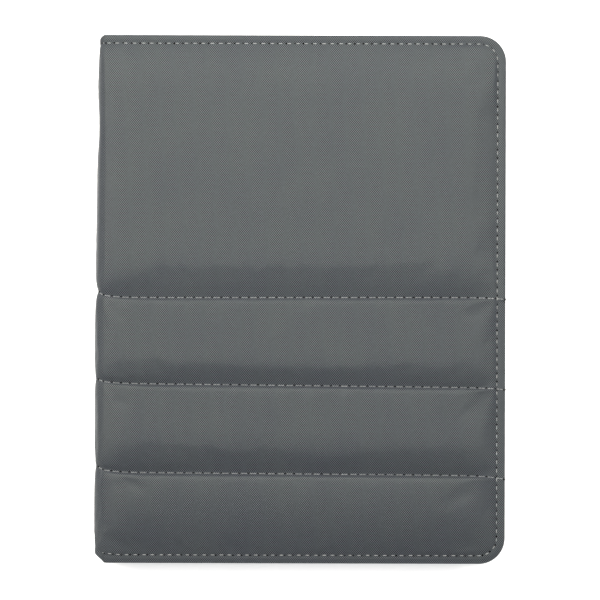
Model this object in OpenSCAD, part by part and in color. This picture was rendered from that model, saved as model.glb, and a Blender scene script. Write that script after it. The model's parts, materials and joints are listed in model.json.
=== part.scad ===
// Padded folio case with a built-in keyboard, for a tablet of about 9.7 inches.
// The case lies closed on its back cover: +X is the fore-edge, +Y the head, +Z up.
// The origin is the centre of the underside. All sizes are in millimetres.

/* [Tablet] */
// Length of the tablet that the case is made for, along the case
tablet_length = 241.2; // [200:0.1:300]
// Width of the tablet, across the case
tablet_width = 185.7; // [150:0.1:225]
// Thickness of the tablet
tablet_thickness = 9.4; // [7:0.1:12]
// Play left over the tablet under the corner straps
tablet_play = 0.2; // [0.1:0.1:1]

/* [Covers] */
// Edge of the tray to the edge of the cover at the fore-edge
fore_margin = 3.1; // [2:0.1:12]
// Edge of the tray to the edge of the cover at head and tail
end_margin = 9.6; // [6:0.1:20]
// Hinge line of the cover to the hinge line of the tray
tray_setback = 6.3; // [5:0.1:12]
// Radius of the cover corners at the fore-edge
fore_corner_r = 13; // [6:0.5:20]
// Radius of the spine corners at head and tail
spine_corner_r = 2.5; // [1:0.1:3.5]
// Flat sewn border round the stiffened middle of a cover
border_w = 5.5; // [3:0.1:9]
// Thickness of the outer fabric
skin_t = 0.7; // [0.5:0.05:1]
// Thickness of the foam
foam_t = 2.2; // [1.5:0.1:4]
// Thickness of the stiffening board
board_t = 1.6; // [1:0.1:2.5]
// Thickness of the lining
lining_t = 0.7; // [0.6:0.05:1.2]

/* [Tray and leg] */
// Width of the tray that shows round the tablet
tray_margin = 1.8; // [1.5:0.1:4]
// Radius of the tray corners
tray_corner_r = 6; // [2:0.5:10]
// Thickness of the tray board
tray_board_t = 1.2; // [0.8:0.1:2]
// Thickness of the fabric on the tray and on the leg
panel_fabric_t = 0.4; // [0.3:0.05:0.6]
// Thickness of the elastic corner straps
strap_t = 0.7; // [0.5:0.1:1]
// Corner of the tray to the near edge of a strap
strap_near = 15; // [12:0.5:20]
// Corner of the tray to the far edge of a strap
strap_far = 30; // [24:0.5:38]
// Width of the leg, along the case
leg_width = 120; // [80:1:160]
// Thickness of the leg board
leg_board_t = 1.6; // [1:0.1:2.5]
// Edge of the tray to the foot of the folded leg
leg_end_gap = 3.3; // [2:0.1:15]
// Width of the hook strip on the foot
hook_w = 12; // [8:0.5:20]
// Thickness of the hook strip and of the loop patch
hook_t = 0.4; // [0.3:0.05:0.4]
// Length of the loop patch across the case
loop_reach = 80; // [60:1:100]
// Thickness of the fabric hinge strips
hinge_strip_t = 0.4; // [0.3:0.05:0.4]
// Width of a hinge strip's glued flange
hinge_flange_w = 5; // [3:0.1:6]

/* [Keyboard] */
// Space between keycaps
key_gap = 1.5; // [1.2:0.1:3]
// Distance that a key travels
key_travel = 1.5; // [0.8:0.1:1.6]
// Keycap height above the frame
key_proud = 1; // [0.8:0.1:1.5]
// Depth of the function row, with its gap
function_row_w = 10.5; // [9:0.1:14]
// Depth of the strip with the electronics
strip_w = 17; // [16:0.5:24]
// Frame beside the keys at the two ends
end_bezel = 5; // [4.8:0.1:9]
// Frame beside the space bar
near_bezel = 5; // [4.8:0.1:9]
// Hinge line of the cover to the keyboard
keyboard_setback = 11.3; // [10:0.1:20]
// Radius of the keyboard corners
keyboard_corner_r = 3; // [1.5:0.1:3]
// Thickness of the frame round the keys
frame_t = 1; // [0.8:0.1:1.2]
// Thickness of the bottom case's floor
floor_t = 0.8; // [0.6:0.05:1]
// Thickness of the bottom case's wall
wall_t = 1.2; // [1:0.1:1.2]
// Clear height inside the keyboard
inside_h = 3.1; // [3.1:0.1:4]
// Thickness of the double-sided tape behind the keyboard
tape_t = 0.4; // [0.2:0.05:1]
// Width of one strip of tape
tape_w = 15; // [8:1:30]
// Clearance round a keycap
key_clear = 0.3; // [0.25:0.05:0.4]
// Wall of a keycap
cap_wall = 0.9; // [0.8:0.05:0.9]
// Corner radius of a keycap
cap_r = 1.2; // [0.5:0.1:1.5]
// Length of the battery
battery_l = 88; // [50:1:90]
// Height of the battery
battery_h = 2.7; // [2:0.1:2.8]
// Travel of the power switch
switch_travel = 3; // [2:0.1:3.5]
// Travel of the pairing button
button_travel = 0.6; // [0.3:0.05:0.6]

/* [Clearances] */
// Folded leg to the lining under it
leg_floor_gap = 0.4; // [0.4:0.05:1]
// Tray to the folded leg
tray_leg_gap = 0.15; // [0.15:0.05:0.5]
// Keycaps to the corner straps when closed
closing_gap = 0.6; // [0.4:0.1:2]
// Hinge line of a panel to the panel's edge
panel_gap = 1.25; // [1:0.05:2]

/* [Hidden] */

// Flat steps in a rounded corner of a cover or panel, and of a keycap
corner_steps = 8;
key_corner_steps = 3;
// Facets of the small round parts, and of the fabric bent round a hinge line
round_fn = 32;
bend_fn = 64;
// How far a cut runs past the face that it opens
over = 1;
// Smallest radius of an inner layer's corner
least_r = 1;

// Covers, from the outside in
cover_t = skin_t + foam_t + board_t + lining_t;
core_t = skin_t + foam_t + board_t;
tray_width = tablet_width + 2 * tray_margin;
tray_half = tablet_length / 2 + tray_margin;
case_half = tray_half + end_margin;
cover_width = tray_setback + panel_gap + tray_width + fore_margin;
hinge_x = (cover_t - cover_width) / 2;
spine_x = hinge_x - cover_t;
fore_x = hinge_x + cover_width;

// Panels inside, from the back lining up
leg_t = leg_board_t + 2 * panel_fabric_t;
leg_z = cover_t + leg_floor_gap;
pivot_z = leg_z + leg_t / 2;
tray_z = leg_z + leg_t + tray_leg_gap;
tray_t = tray_board_t + 2 * panel_fabric_t;
bay_z = tray_z + tray_t;
strap_z = bay_z + tablet_thickness + tablet_play;
keys_z = strap_z + strap_t + closing_gap;
keyboard_t = floor_t + inside_h + frame_t + key_proud;
keyboard_back_z = keys_z + keyboard_t;
front_face_z = keyboard_back_z + tape_t;
case_t = front_face_z + cover_t;

// Tray and leg hinges
tray_pivot_x = hinge_x + tray_setback;
tray_x0 = tray_pivot_x + panel_gap;
tray_x1 = tray_x0 + tray_width;
leg_length = (tray_x1 - leg_end_gap - tray_pivot_x) / 2;
leg_pivot_x = tray_pivot_x + leg_length;
leg_x0 = leg_pivot_x + panel_gap;
leg_x1 = leg_pivot_x + leg_length;
leg_half = leg_width / 2;
leg_corner_r = 1;
leg_strip_short = 2;
hinge_strip_half = leg_half - leg_strip_short;
tray_strip_short = 12;
tray_strip_half = tray_half - tray_strip_short;
hook_inset = 2;
hook_end_inset = 4;
loop_x1 = leg_x1 - hook_inset;
hook_standout = 0.1;

// Keyboard: the user's left end is at +Y and the space bar is towards the fore-edge
units_across = 14;
full_rows = 5;
keyboard_half = tablet_length / 2;
key_pitch = (2 * keyboard_half - 2 * end_bezel) / units_across;
keyboard_x0 = hinge_x + keyboard_setback;
keyboard_x1 = keyboard_x0 + strip_w + function_row_w + full_rows * key_pitch + near_bezel;
frame_k = floor_t + inside_h;
caps_k = frame_k + frame_t + key_proud;
cap_ceiling_t = 1;
membrane_t = 0.5;
dome_sheet_t = 0.2;
sheet_k = floor_t + membrane_t;
// A cap's skirt stops just over the dome sheet at the bottom of its travel
skirt_clear = 0.4;
cap_skirt_k = sheet_k + dome_sheet_t + key_travel + skirt_clear;
dome_base_r = 2.1;
dome_top_r = 1.4;
dome_clear = 0.1;
membrane_inset = 4.6;
screw_inset = 2.9;
screw_head_r = 1.3;
screw_head_h = 0.5;
screw_recess = 0.02;
screw_shaft_r = 0.6;
screw_tip_gap = 0.3;
screw_tip_k = frame_k - screw_tip_gap;
standoff_r = 1.5;
screw_clear = 0.05;
head_hole_r = screw_head_r + 2 * screw_clear;
shaft_hole_play = 0.2;
shaft_hole_r = screw_shaft_r + shaft_hole_play;
tape_end_gap = 10;
strip_wall_gap = 0.8;
strip_key_gap = 1.5;
strip_x0 = keyboard_x0 + wall_t + strip_wall_gap;
strip_x1 = keyboard_x0 + strip_w - strip_key_gap;
strip_mid_x = (strip_x0 + strip_x1) / 2;

// Electronics in the strip, from the user's right end
board_wall_gap = 5.2;
board_y0 = -keyboard_half + wall_t + board_wall_gap;
board_l = 70;
pcb_lift = 0.15;
pcb_k = floor_t + pcb_lift;
pcb_t = 0.6;
part_k = pcb_k + pcb_t;
controller_w = 5;
controller_h = 1;
controller_back = 8;
contact_w = 3.5;
contact_h = 0.5;
usb_w = 7.5;
usb_d = 5.6;
usb_h = 2.2;
usb_shell_t = 0.3;
usb_clear = 0.1;
usb_inset = 0.2;
// Controls along the circuit board, from its end by the socket
button_along = 18;
switch_along = 36;
lens_along = 54;
button_y = board_y0 + button_along;
button_r = 1.9;
button_flange_r = 2.6;
button_flange_t = 0.5;
button_flange_gap = 0.1;
button_proud = 0.5;
button_stem_r = 1;
button_clear = 0.25;
switch_y = board_y0 + switch_along;
switch_l = 9;
switch_w = 4.4;
switch_h = 1.3;
knob_l = 3.6;
knob_w = 2;
knob_r = 0.4;
knob_proud = 0.5;
slider_lip_w = 0.8;
slider_lip_l = 0.6;
slider_t = 0.6;
slide_clear = 0.25;
lens_r = 0.75;
lens_clear = 0.02;
lens_below = 0.4;
lens_proud = 0.1;
lens_pitch = 5;
lens_y = board_y0 + lens_along;
lens_count = 3;
controller_y = lens_y + lens_count * lens_pitch - controller_back;
battery_y0 = 4;
battery_lift = 0.1;

// Key widths by row, in key pitches, from the user's left; the last row ends in the arrow cluster
function_row = [for (i = [1:14]) 1];
number_row = concat([for (i = [1:12]) 1], [2]);
upper_row = concat([1.25], [for (i = [1:12]) 1], [0.75]);
home_row = concat([1.5], [for (i = [1:11]) 1], [1.5]);
lower_row = concat([2], [for (i = [1:10]) 1], [2]);
bottom_row = [1, 1, 1, 1, 5, 1, 1, 1, 1, 1];
rows = [function_row, number_row, upper_row, home_row, lower_row, bottom_row];
last_row = len(rows) - 1;
arrow_column = 8;

function sum_to(list, n) = n <= 0 ? 0 : list[n - 1] + sum_to(list, n - 1);
function row_x0(r) = keyboard_x0 + strip_w + (r == 0 ? 0 : function_row_w + (r - 1) * key_pitch);
function row_x1(r) = r == 0 ? row_x0(0) + function_row_w : row_x0(r) + key_pitch;
function key_y1(r, i) = keyboard_half - end_bezel - key_pitch * sum_to(rows[r], i);
function key_y0(r, i) = key_y1(r, i + 1);

// A key's box [x0, x1, y0, y1]; part 1 or 2 is the upper or lower half of a split key
function key_box(r, i, part = 0) =
    let (
        mid = (row_x0(r) + row_x1(r)) / 2,
        x0 = part == 2 ? mid : row_x0(r),
        x1 = part == 1 ? mid : row_x1(r)
    )
    [x0 + key_gap / 2, x1 - key_gap / 2, key_y0(r, i) + key_gap / 2, key_y1(r, i) - key_gap / 2];

function row_boxes(r, first, last) = [for (i = [first:last]) key_box(r, i)];
whole_keys = [
    for (r = [0:last_row], i = [0:len(rows[r]) - 1])
        if (!(r == last_row && i == arrow_column)) key_box(r, i)];
arrow_up_box = key_box(last_row, arrow_column, 1);
arrow_down_box = key_box(last_row, arrow_column, 2);
all_keys = concat(whole_keys, [arrow_up_box, arrow_down_box]);

screw_spots = [
    for (x = [keyboard_x0 + screw_inset, keyboard_x1 - screw_inset], y = [-1, 0, 1])
        [x, y * (keyboard_half - screw_inset)]];

function arc(c, r, a0, steps) = r == 0 ? [c] : [
    for (i = [0:steps])
        c + r * [cos(a0 + 90 * i / steps), sin(a0 + 90 * i / steps)]];

// Rectangle with radius r_in at the two corners of smaller x and r_out at the other two
function panel(x0, x1, y0, y1, r_in, r_out, steps) = concat(
    arc([x1 - r_out, y1 - r_out], r_out, 0, steps),
    arc([x0 + r_in, y1 - r_in], r_in, 90, steps),
    arc([x0 + r_in, y0 + r_in], r_in, 180, steps),
    arc([x1 - r_out, y0 + r_out], r_out, 270, steps));

module plate(x0, x1, y0, y1, z0, z1, r_in = 0, r_out = 0, steps = corner_steps) {
    translate([0, 0, z0])
        linear_extrude(z1 - z0)
            polygon(panel(x0, x1, y0, y1, r_in, r_out, steps));
}

// ---- Covers ----

module cover_plate(at_hinge, inset, z0, z1) {
    plate(hinge_x + at_hinge, fore_x - inset, inset - case_half, case_half - inset, z0, z1,
          0, max(fore_corner_r - inset, least_r));
}

module cover_skin() {
    difference() {
        cover_plate(0, 0, 0, core_t);
        cover_plate(skin_t, border_w, skin_t, core_t + over);
    }
}

module cover_foam() {
    cover_plate(skin_t, border_w, skin_t, skin_t + foam_t);
}

module cover_board() {
    cover_plate(skin_t, border_w, skin_t + foam_t, core_t);
}

module cover_lining() {
    cover_plate(0, 0, core_t, cover_t);
}

module turned_over() {
    translate([0, 0, case_t]) mirror([0, 0, 1]) children();
}

module loop_recess() {
    plate(loop_x1 - loop_reach, loop_x1, -leg_half, leg_half, cover_t - hook_t, cover_t + hook_standout);
}

module back_outer_skin() {
    color("dimgray") cover_skin();
}

module back_foam_pad() {
    color("lightyellow") cover_foam();
}

module back_board() {
    color("burlywood") cover_board();
}

module back_lining() {
    color("slategray") difference() {
        cover_lining();
        loop_recess();
    }
}

module loop_patch() {
    color("darkslategray") loop_recess();
}

module front_outer_skin() {
    color("dimgray") turned_over() cover_skin();
}

module front_foam_pad() {
    color("lightyellow") turned_over() cover_foam();
}

module front_board() {
    color("burlywood") turned_over() cover_board();
}

module front_lining() {
    color("slategray") turned_over() cover_lining();
}

// ---- Spine ----

// A layer of the spine from depth d0 to d1 under its outer face
module spine_layer(d0, d1, inset_y, inset_z, r_in = 0) {
    plate(spine_x + d0, spine_x + d1, inset_y - case_half, case_half - inset_y,
          cover_t + inset_z, front_face_z - inset_z, r_in, 0);
}

module spine_outer_skin() {
    color("dimgray") difference() {
        spine_layer(0, core_t, 0, 0, spine_corner_r);
        spine_layer(skin_t, core_t + over, border_w, skin_t);
    }
}

module spine_foam_pad() {
    color("lightyellow") spine_layer(skin_t, skin_t + foam_t, border_w, skin_t);
}

module spine_board() {
    color("burlywood") spine_layer(skin_t + foam_t, core_t, border_w, skin_t);
}

module spine_lining() {
    color("slategray") spine_layer(core_t, cover_t, 0, 0);
}

// Quarter-round of fabric from the back cover's outer face to the spine's
module hinge_gusset() {
    intersection() {
        translate([hinge_x, 0, cover_t]) rotate([90, 0, 0]) difference() {
            cylinder(r = cover_t, h = 2 * case_half, center = true, $fn = bend_fn);
            cylinder(r = cover_t - skin_t, h = 2 * case_half + over, center = true, $fn = bend_fn);
        }
        plate(spine_x, hinge_x, -case_half, case_half, 0, cover_t, spine_corner_r, 0);
    }
}

module back_hinge_gusset() {
    color("dimgray") hinge_gusset();
}

module front_hinge_gusset() {
    color("dimgray") turned_over() hinge_gusset();
}

// ---- Tray ----

module tray_plate(z0, z1) {
    plate(tray_x0, tray_x1, -tray_half, tray_half, z0, z1, tray_corner_r, tray_corner_r);
}

module tray_board() {
    color("burlywood") tray_plate(tray_z + panel_fabric_t, bay_z - panel_fabric_t);
}

module tray_face_fabric() {
    color("slategray") tray_plate(bay_z - panel_fabric_t, bay_z);
}

module tray_back_fabric() {
    color("slategray") tray_plate(tray_z, tray_z + panel_fabric_t);
}

// Profile in X and Z, extruded along the case
module along_case(points, half) {
    translate([0, half, 0]) rotate([90, 0, 0]) linear_extrude(2 * half) polygon(points);
}

// Z-shaped strip from the back lining up to the underside of the tray
module tray_hinge_strip() {
    x = tray_pivot_x;
    h = hinge_strip_t / 2;
    color("darkslategray") along_case([
        [x - hinge_flange_w, cover_t], [x + h, cover_t],
        [x + h, tray_z - 2 * h], [x + hinge_flange_w + panel_gap, tray_z - 2 * h],
        [x + hinge_flange_w + panel_gap, tray_z], [x - h, tray_z],
        [x - h, cover_t + 2 * h], [x - hinge_flange_w, cover_t + 2 * h]], tray_strip_half);
}

// Strip from the underside of the tray to the near end of the leg
module leg_hinge_strip() {
    x = leg_pivot_x;
    h = hinge_strip_t / 2;
    color("darkslategray") along_case([
        [x - hinge_flange_w, tray_z], [x - hinge_flange_w, tray_z - 2 * h],
        [x - h, tray_z - 2 * h], [x - h, pivot_z - h], [x + panel_gap, pivot_z - h],
        [x + panel_gap, pivot_z + h], [x + h, pivot_z + h], [x + h, tray_z]], hinge_strip_half);
}

// Elastic strap across a tray corner; at_fore and at_head pick the corner
module corner_strap(at_fore, at_head) {
    translate([at_fore ? tray_x1 : tray_x0, at_head ? tray_half : -tray_half, 0])
        mirror([at_fore ? 1 : 0, 0, 0])
            mirror([0, at_head ? 1 : 0, 0]) {
                translate([0, 0, strap_z])
                    linear_extrude(strap_t)
                        polygon([[strap_near, 0], [strap_far, 0], [0, strap_far], [0, strap_near]]);
                translate([strap_near, 0, bay_z]) cube([strap_far - strap_near, strap_t, strap_z - bay_z]);
                translate([0, strap_near, bay_z]) cube([strap_t, strap_far - strap_near, strap_z - bay_z]);
            }
}

module head_spine_strap() {
    color("black") corner_strap(false, true);
}

module head_fore_strap() {
    color("black") corner_strap(true, true);
}

module tail_spine_strap() {
    color("black") corner_strap(false, false);
}

module tail_fore_strap() {
    color("black") corner_strap(true, false);
}

// ---- Leg ----

module leg_plate(inset, z0, z1) {
    plate(leg_x0 + inset, leg_x1 - inset, inset - leg_half, leg_half - inset, z0, z1,
          leg_corner_r, leg_corner_r);
}

module leg_hook_shape() {
    plate(leg_x1 - hook_inset - hook_w, leg_x1 - hook_inset,
          hook_end_inset - leg_half, leg_half - hook_end_inset,
          leg_z - hook_standout, leg_z - hook_standout + hook_t);
}

module leg_board() {
    color("burlywood")
        leg_plate(panel_fabric_t, leg_z + panel_fabric_t, leg_z + panel_fabric_t + leg_board_t);
}

module leg_fabric() {
    color("slategray") difference() {
        leg_plate(0, leg_z, leg_z + leg_t);
        leg_board();
        leg_hook_shape();
    }
}

module leg_hook_strip() {
    color("black") leg_hook_shape();
}

// ---- Keyboard, built from its back face (k = 0) towards the keycaps ----

module from_keyboard_back() {
    translate([0, 0, keyboard_back_z]) mirror([0, 0, 1]) children();
}

module keyboard_plate(inset, k0, k1) {
    plate(keyboard_x0 + inset, keyboard_x1 - inset, inset - keyboard_half, keyboard_half - inset, k0, k1,
          max(keyboard_corner_r - inset, least_r), max(keyboard_corner_r - inset, least_r));
}

// Box over the keyed area only
module keyed_area(k0, k1) {
    plate(keyboard_x0 + strip_w, keyboard_x1 - membrane_inset,
          membrane_inset - keyboard_half, keyboard_half - membrane_inset, k0, k1);
}

module key_block(box, grow, k0, k1, r) {
    plate(box[0] - grow, box[1] + grow, box[2] - grow, box[3] + grow, k0, k1, r, r, key_corner_steps);
}

module keyboard_tape() {
    color("white") for (x = [keyboard_x0 + strip_w, keyboard_x1 - near_bezel - tape_w])
        plate(x, x + tape_w, tape_end_gap - keyboard_half, keyboard_half - tape_end_gap,
              keyboard_back_z, front_face_z);
}

module at_screws() {
    for (spot = screw_spots)
        translate([spot[0], spot[1], 0]) children();
}

module keyboard_bottom_case() {
    color("dimgray") from_keyboard_back() difference() {
        keyboard_plate(0, 0, frame_k);
        keyboard_plate(wall_t, floor_t, frame_k + over);
        at_screws() translate([0, 0, -over])
            cylinder(r = shaft_hole_r, h = floor_t + 2 * over, $fn = round_fn);
        at_screws() translate([0, 0, -over])
            cylinder(r = head_hole_r, h = over + screw_head_h, $fn = round_fn);
        translate([strip_mid_x - usb_w / 2 - usb_clear, -keyboard_half - over, part_k - usb_clear])
            cube([usb_w + 2 * usb_clear, wall_t + 2 * over, frame_k]);
    }
}

module keyboard_top_frame() {
    knob_slot_l = knob_l + switch_travel + 2 * slide_clear;
    knob_slot_w = knob_w + 2 * slide_clear;
    color("gray") from_keyboard_back() difference() {
        keyboard_plate(0, frame_k, frame_k + frame_t);
        for (box = all_keys)
            key_block(box, key_clear, frame_k - over, frame_k + frame_t + over, cap_r + key_clear);
        translate([strip_mid_x, button_y, frame_k - over])
            cylinder(r = button_r + button_clear, h = frame_t + 2 * over, $fn = round_fn);
        translate([strip_mid_x - knob_slot_w / 2, switch_y - knob_slot_l / 2, frame_k - over])
            cube([knob_slot_w, knob_slot_l, frame_t + 2 * over]);
        for (i = [0:lens_count - 1])
            translate([strip_mid_x, lens_y + i * lens_pitch, frame_k - over])
                cylinder(r = lens_r + lens_clear, h = frame_t + 2 * over, $fn = round_fn);
    }
}

module key_membrane() {
    color("gainsboro") from_keyboard_back() keyed_area(floor_t, sheet_k);
}

module dome_sheet() {
    dome_k = caps_k - cap_ceiling_t - dome_clear;
    color("whitesmoke") from_keyboard_back() {
        keyed_area(sheet_k, sheet_k + dome_sheet_t);
        for (box = all_keys)
            translate([(box[0] + box[1]) / 2, (box[2] + box[3]) / 2, sheet_k + dome_sheet_t / 2])
                cylinder(r1 = dome_base_r, r2 = dome_top_r, h = dome_k - sheet_k - dome_sheet_t / 2,
                         $fn = round_fn);
    }
}

module circuit_board() {
    color("seagreen") from_keyboard_back() {
        translate([strip_x0, board_y0, pcb_k]) cube([strip_x1 - strip_x0, board_l, pcb_t]);
        translate([strip_mid_x - controller_w / 2, controller_y, part_k])
            cube([controller_w, controller_w, controller_h]);
        translate([strip_mid_x - contact_w / 2, button_y - contact_w / 2, part_k])
            cube([contact_w, contact_w, contact_h]);
    }
}

module battery() {
    color("silver") from_keyboard_back()
        translate([strip_x0, battery_y0, floor_t + battery_lift])
            cube([strip_x1 - strip_x0, battery_l, battery_h]);
}

module usb_socket() {
    y0 = -keyboard_half + usb_inset;
    color("silver") from_keyboard_back() difference() {
        translate([strip_mid_x - usb_w / 2, y0, part_k]) cube([usb_w, usb_d, usb_h]);
        translate([strip_mid_x - usb_w / 2 + usb_shell_t, y0 - over, part_k + usb_shell_t])
            cube([usb_w - 2 * usb_shell_t, usb_d, usb_h - 2 * usb_shell_t]);
    }
}

// Brass standoffs staked to the underside of the frame
module threaded_standoffs() {
    color("gold") from_keyboard_back() at_screws() difference() {
        translate([0, 0, floor_t + screw_clear])
            cylinder(r = standoff_r, h = inside_h - screw_clear, $fn = round_fn);
        cylinder(r = screw_shaft_r + screw_clear, h = screw_tip_k + 2 * screw_clear, $fn = round_fn);
    }
}

module keyboard_screws() {
    color("silver") from_keyboard_back() at_screws() {
        translate([0, 0, screw_recess])
            cylinder(r = screw_head_r, h = screw_head_h - screw_clear - screw_recess, $fn = round_fn);
        translate([0, 0, screw_recess])
            cylinder(r = screw_shaft_r, h = screw_tip_k - screw_recess, $fn = round_fn);
    }
}

module status_lenses() {
    color("lightblue") from_keyboard_back()
        for (i = [0:lens_count - 1])
            translate([strip_mid_x, lens_y + i * lens_pitch, frame_k - lens_below])
                cylinder(r = lens_r, h = lens_below + frame_t + lens_proud, $fn = round_fn);
}

module switch_body() {
    color("black") from_keyboard_back()
        translate([strip_mid_x - switch_w / 2, switch_y - switch_l / 2, part_k])
            cube([switch_w, switch_l, switch_h]);
}

// The knob stands at the user's right end of its slot, which is off
module power_switch() {
    slider_k = frame_k - slide_clear - slider_t;
    slider_half_w = knob_w / 2 + slider_lip_w;
    slider_half_l = knob_l / 2 + slider_lip_l;
    knob_y = switch_y - switch_travel / 2;
    color("black") from_keyboard_back() {
        plate(strip_mid_x - slider_half_w, strip_mid_x + slider_half_w,
              knob_y - slider_half_l, knob_y + slider_half_l, slider_k, slider_k + slider_t);
        plate(strip_mid_x - knob_w / 2, strip_mid_x + knob_w / 2, knob_y - knob_l / 2, knob_y + knob_l / 2,
              slider_k, frame_k + frame_t + knob_proud, knob_r, knob_r);
    }
}

// The stem stands over its contact by the button's travel
module pairing_button() {
    stem_k = part_k + contact_h + button_travel;
    flange_k = frame_k - button_flange_gap - button_flange_t;
    color("black") from_keyboard_back() translate([strip_mid_x, button_y, 0]) {
        translate([0, 0, stem_k]) cylinder(r = button_stem_r, h = frame_k - stem_k, $fn = round_fn);
        translate([0, 0, flange_k]) cylinder(r = button_flange_r, h = button_flange_t, $fn = round_fn);
        translate([0, 0, flange_k])
            cylinder(r = button_r, h = frame_k + frame_t + button_proud - flange_k, $fn = round_fn);
    }
}

// ---- Keys ----

// Hollow caps over the given boxes
module keycaps(boxes) {
    color("dimgray") from_keyboard_back()
        for (box = boxes)
            difference() {
                key_block(box, 0, cap_skirt_k, caps_k, cap_r);
                key_block(box, -cap_wall, cap_skirt_k - over, caps_k - cap_ceiling_t, cap_r - cap_wall);
            }
}

module function_keys() { keycaps(row_boxes(0, 0, 13)); }
module number_keys() { keycaps(row_boxes(1, 0, 11)); }
module backspace_key() { keycaps(row_boxes(1, 12, 12)); }
module tab_key() { keycaps(row_boxes(2, 0, 0)); }
module upper_letter_keys() { keycaps(row_boxes(2, 1, 13)); }
module caps_lock_key() { keycaps(row_boxes(3, 0, 0)); }
module home_letter_keys() { keycaps(row_boxes(3, 1, 11)); }
module enter_key() { keycaps(row_boxes(3, 12, 12)); }
module left_shift_key() { keycaps(row_boxes(4, 0, 0)); }
module lower_letter_keys() { keycaps(row_boxes(4, 1, 10)); }
module right_shift_key() { keycaps(row_boxes(4, 11, 11)); }
module left_modifier_keys() { keycaps(row_boxes(last_row, 0, 3)); }
module space_bar() { keycaps(row_boxes(last_row, 4, 4)); }
module right_modifier_keys() { keycaps(row_boxes(last_row, 5, 6)); }
module arrow_left_key() { keycaps(row_boxes(last_row, 7, 7)); }
module arrow_up_key() { keycaps([arrow_up_box]); }
module arrow_down_key() { keycaps([arrow_down_box]); }
module arrow_right_key() { keycaps(row_boxes(last_row, 9, 9)); }

back_outer_skin();
back_foam_pad();
back_board();
back_lining();
loop_patch();
tray_hinge_strip();
back_hinge_gusset();
spine_outer_skin();
spine_foam_pad();
spine_board();
spine_lining();
front_hinge_gusset();
front_outer_skin();
front_foam_pad();
front_board();
front_lining();
keyboard_tape();
keyboard_bottom_case();
keyboard_top_frame();
key_membrane();
dome_sheet();
circuit_board();
battery();
usb_socket();
threaded_standoffs();
keyboard_screws();
status_lenses();
switch_body();
power_switch();
pairing_button();
tray_board();
tray_face_fabric();
tray_back_fabric();
leg_hinge_strip();
head_spine_strap();
head_fore_strap();
tail_spine_strap();
tail_fore_strap();
leg_board();
leg_fabric();
leg_hook_strip();
function_keys();
number_keys();
backspace_key();
tab_key();
upper_letter_keys();
caps_lock_key();
home_letter_keys();
enter_key();
left_shift_key();
lower_letter_keys();
right_shift_key();
left_modifier_keys();
space_bar();
right_modifier_keys();
arrow_left_key();
arrow_up_key();
arrow_down_key();
arrow_right_key();
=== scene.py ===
"""Looks of a padded tablet keyboard case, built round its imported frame.

The case lies closed on its back cover: +X is the fore-edge, +Y the head and +Z up. The outer fabric is two
padded shells, one for each cover, sewn shut round three sides. They meet along the middle of the spine.
"""
import json
import logging
import math
from dataclasses import dataclass, field
from enum import Enum
from typing import Callable, Sequence, Union

import bmesh
import bpy
import numpy as np
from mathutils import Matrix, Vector
from mathutils.bvhtree import BVHTree


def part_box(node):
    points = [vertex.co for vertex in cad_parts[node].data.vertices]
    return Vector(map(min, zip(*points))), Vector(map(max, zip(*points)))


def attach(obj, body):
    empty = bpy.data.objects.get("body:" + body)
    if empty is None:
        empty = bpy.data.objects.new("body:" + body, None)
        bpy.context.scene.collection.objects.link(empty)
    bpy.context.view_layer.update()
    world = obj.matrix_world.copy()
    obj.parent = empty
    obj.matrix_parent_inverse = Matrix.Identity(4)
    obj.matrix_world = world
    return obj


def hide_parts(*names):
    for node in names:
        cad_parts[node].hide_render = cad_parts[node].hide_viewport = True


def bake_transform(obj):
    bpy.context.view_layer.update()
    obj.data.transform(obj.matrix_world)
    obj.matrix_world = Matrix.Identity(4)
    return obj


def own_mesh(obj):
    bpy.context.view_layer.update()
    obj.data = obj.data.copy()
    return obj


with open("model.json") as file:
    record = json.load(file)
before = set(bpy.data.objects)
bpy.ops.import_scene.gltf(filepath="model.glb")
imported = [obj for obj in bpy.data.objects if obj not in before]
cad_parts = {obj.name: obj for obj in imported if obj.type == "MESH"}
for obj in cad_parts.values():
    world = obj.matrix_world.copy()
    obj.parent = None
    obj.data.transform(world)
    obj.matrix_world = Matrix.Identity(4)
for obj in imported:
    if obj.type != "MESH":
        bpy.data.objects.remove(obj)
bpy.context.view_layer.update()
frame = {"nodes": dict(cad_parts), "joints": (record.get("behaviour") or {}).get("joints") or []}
LOG = logging.getLogger("keyboard_case")
MM = 0.001
Colour = tuple[float, float, float]
Value = Union[float, "Signal"]
Mesh = tuple[np.ndarray, list[list[int]]]
Surface = Callable[[float, float], tuple[Vector, Vector]]


# ---------------------------------------------------------------- shader language

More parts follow.
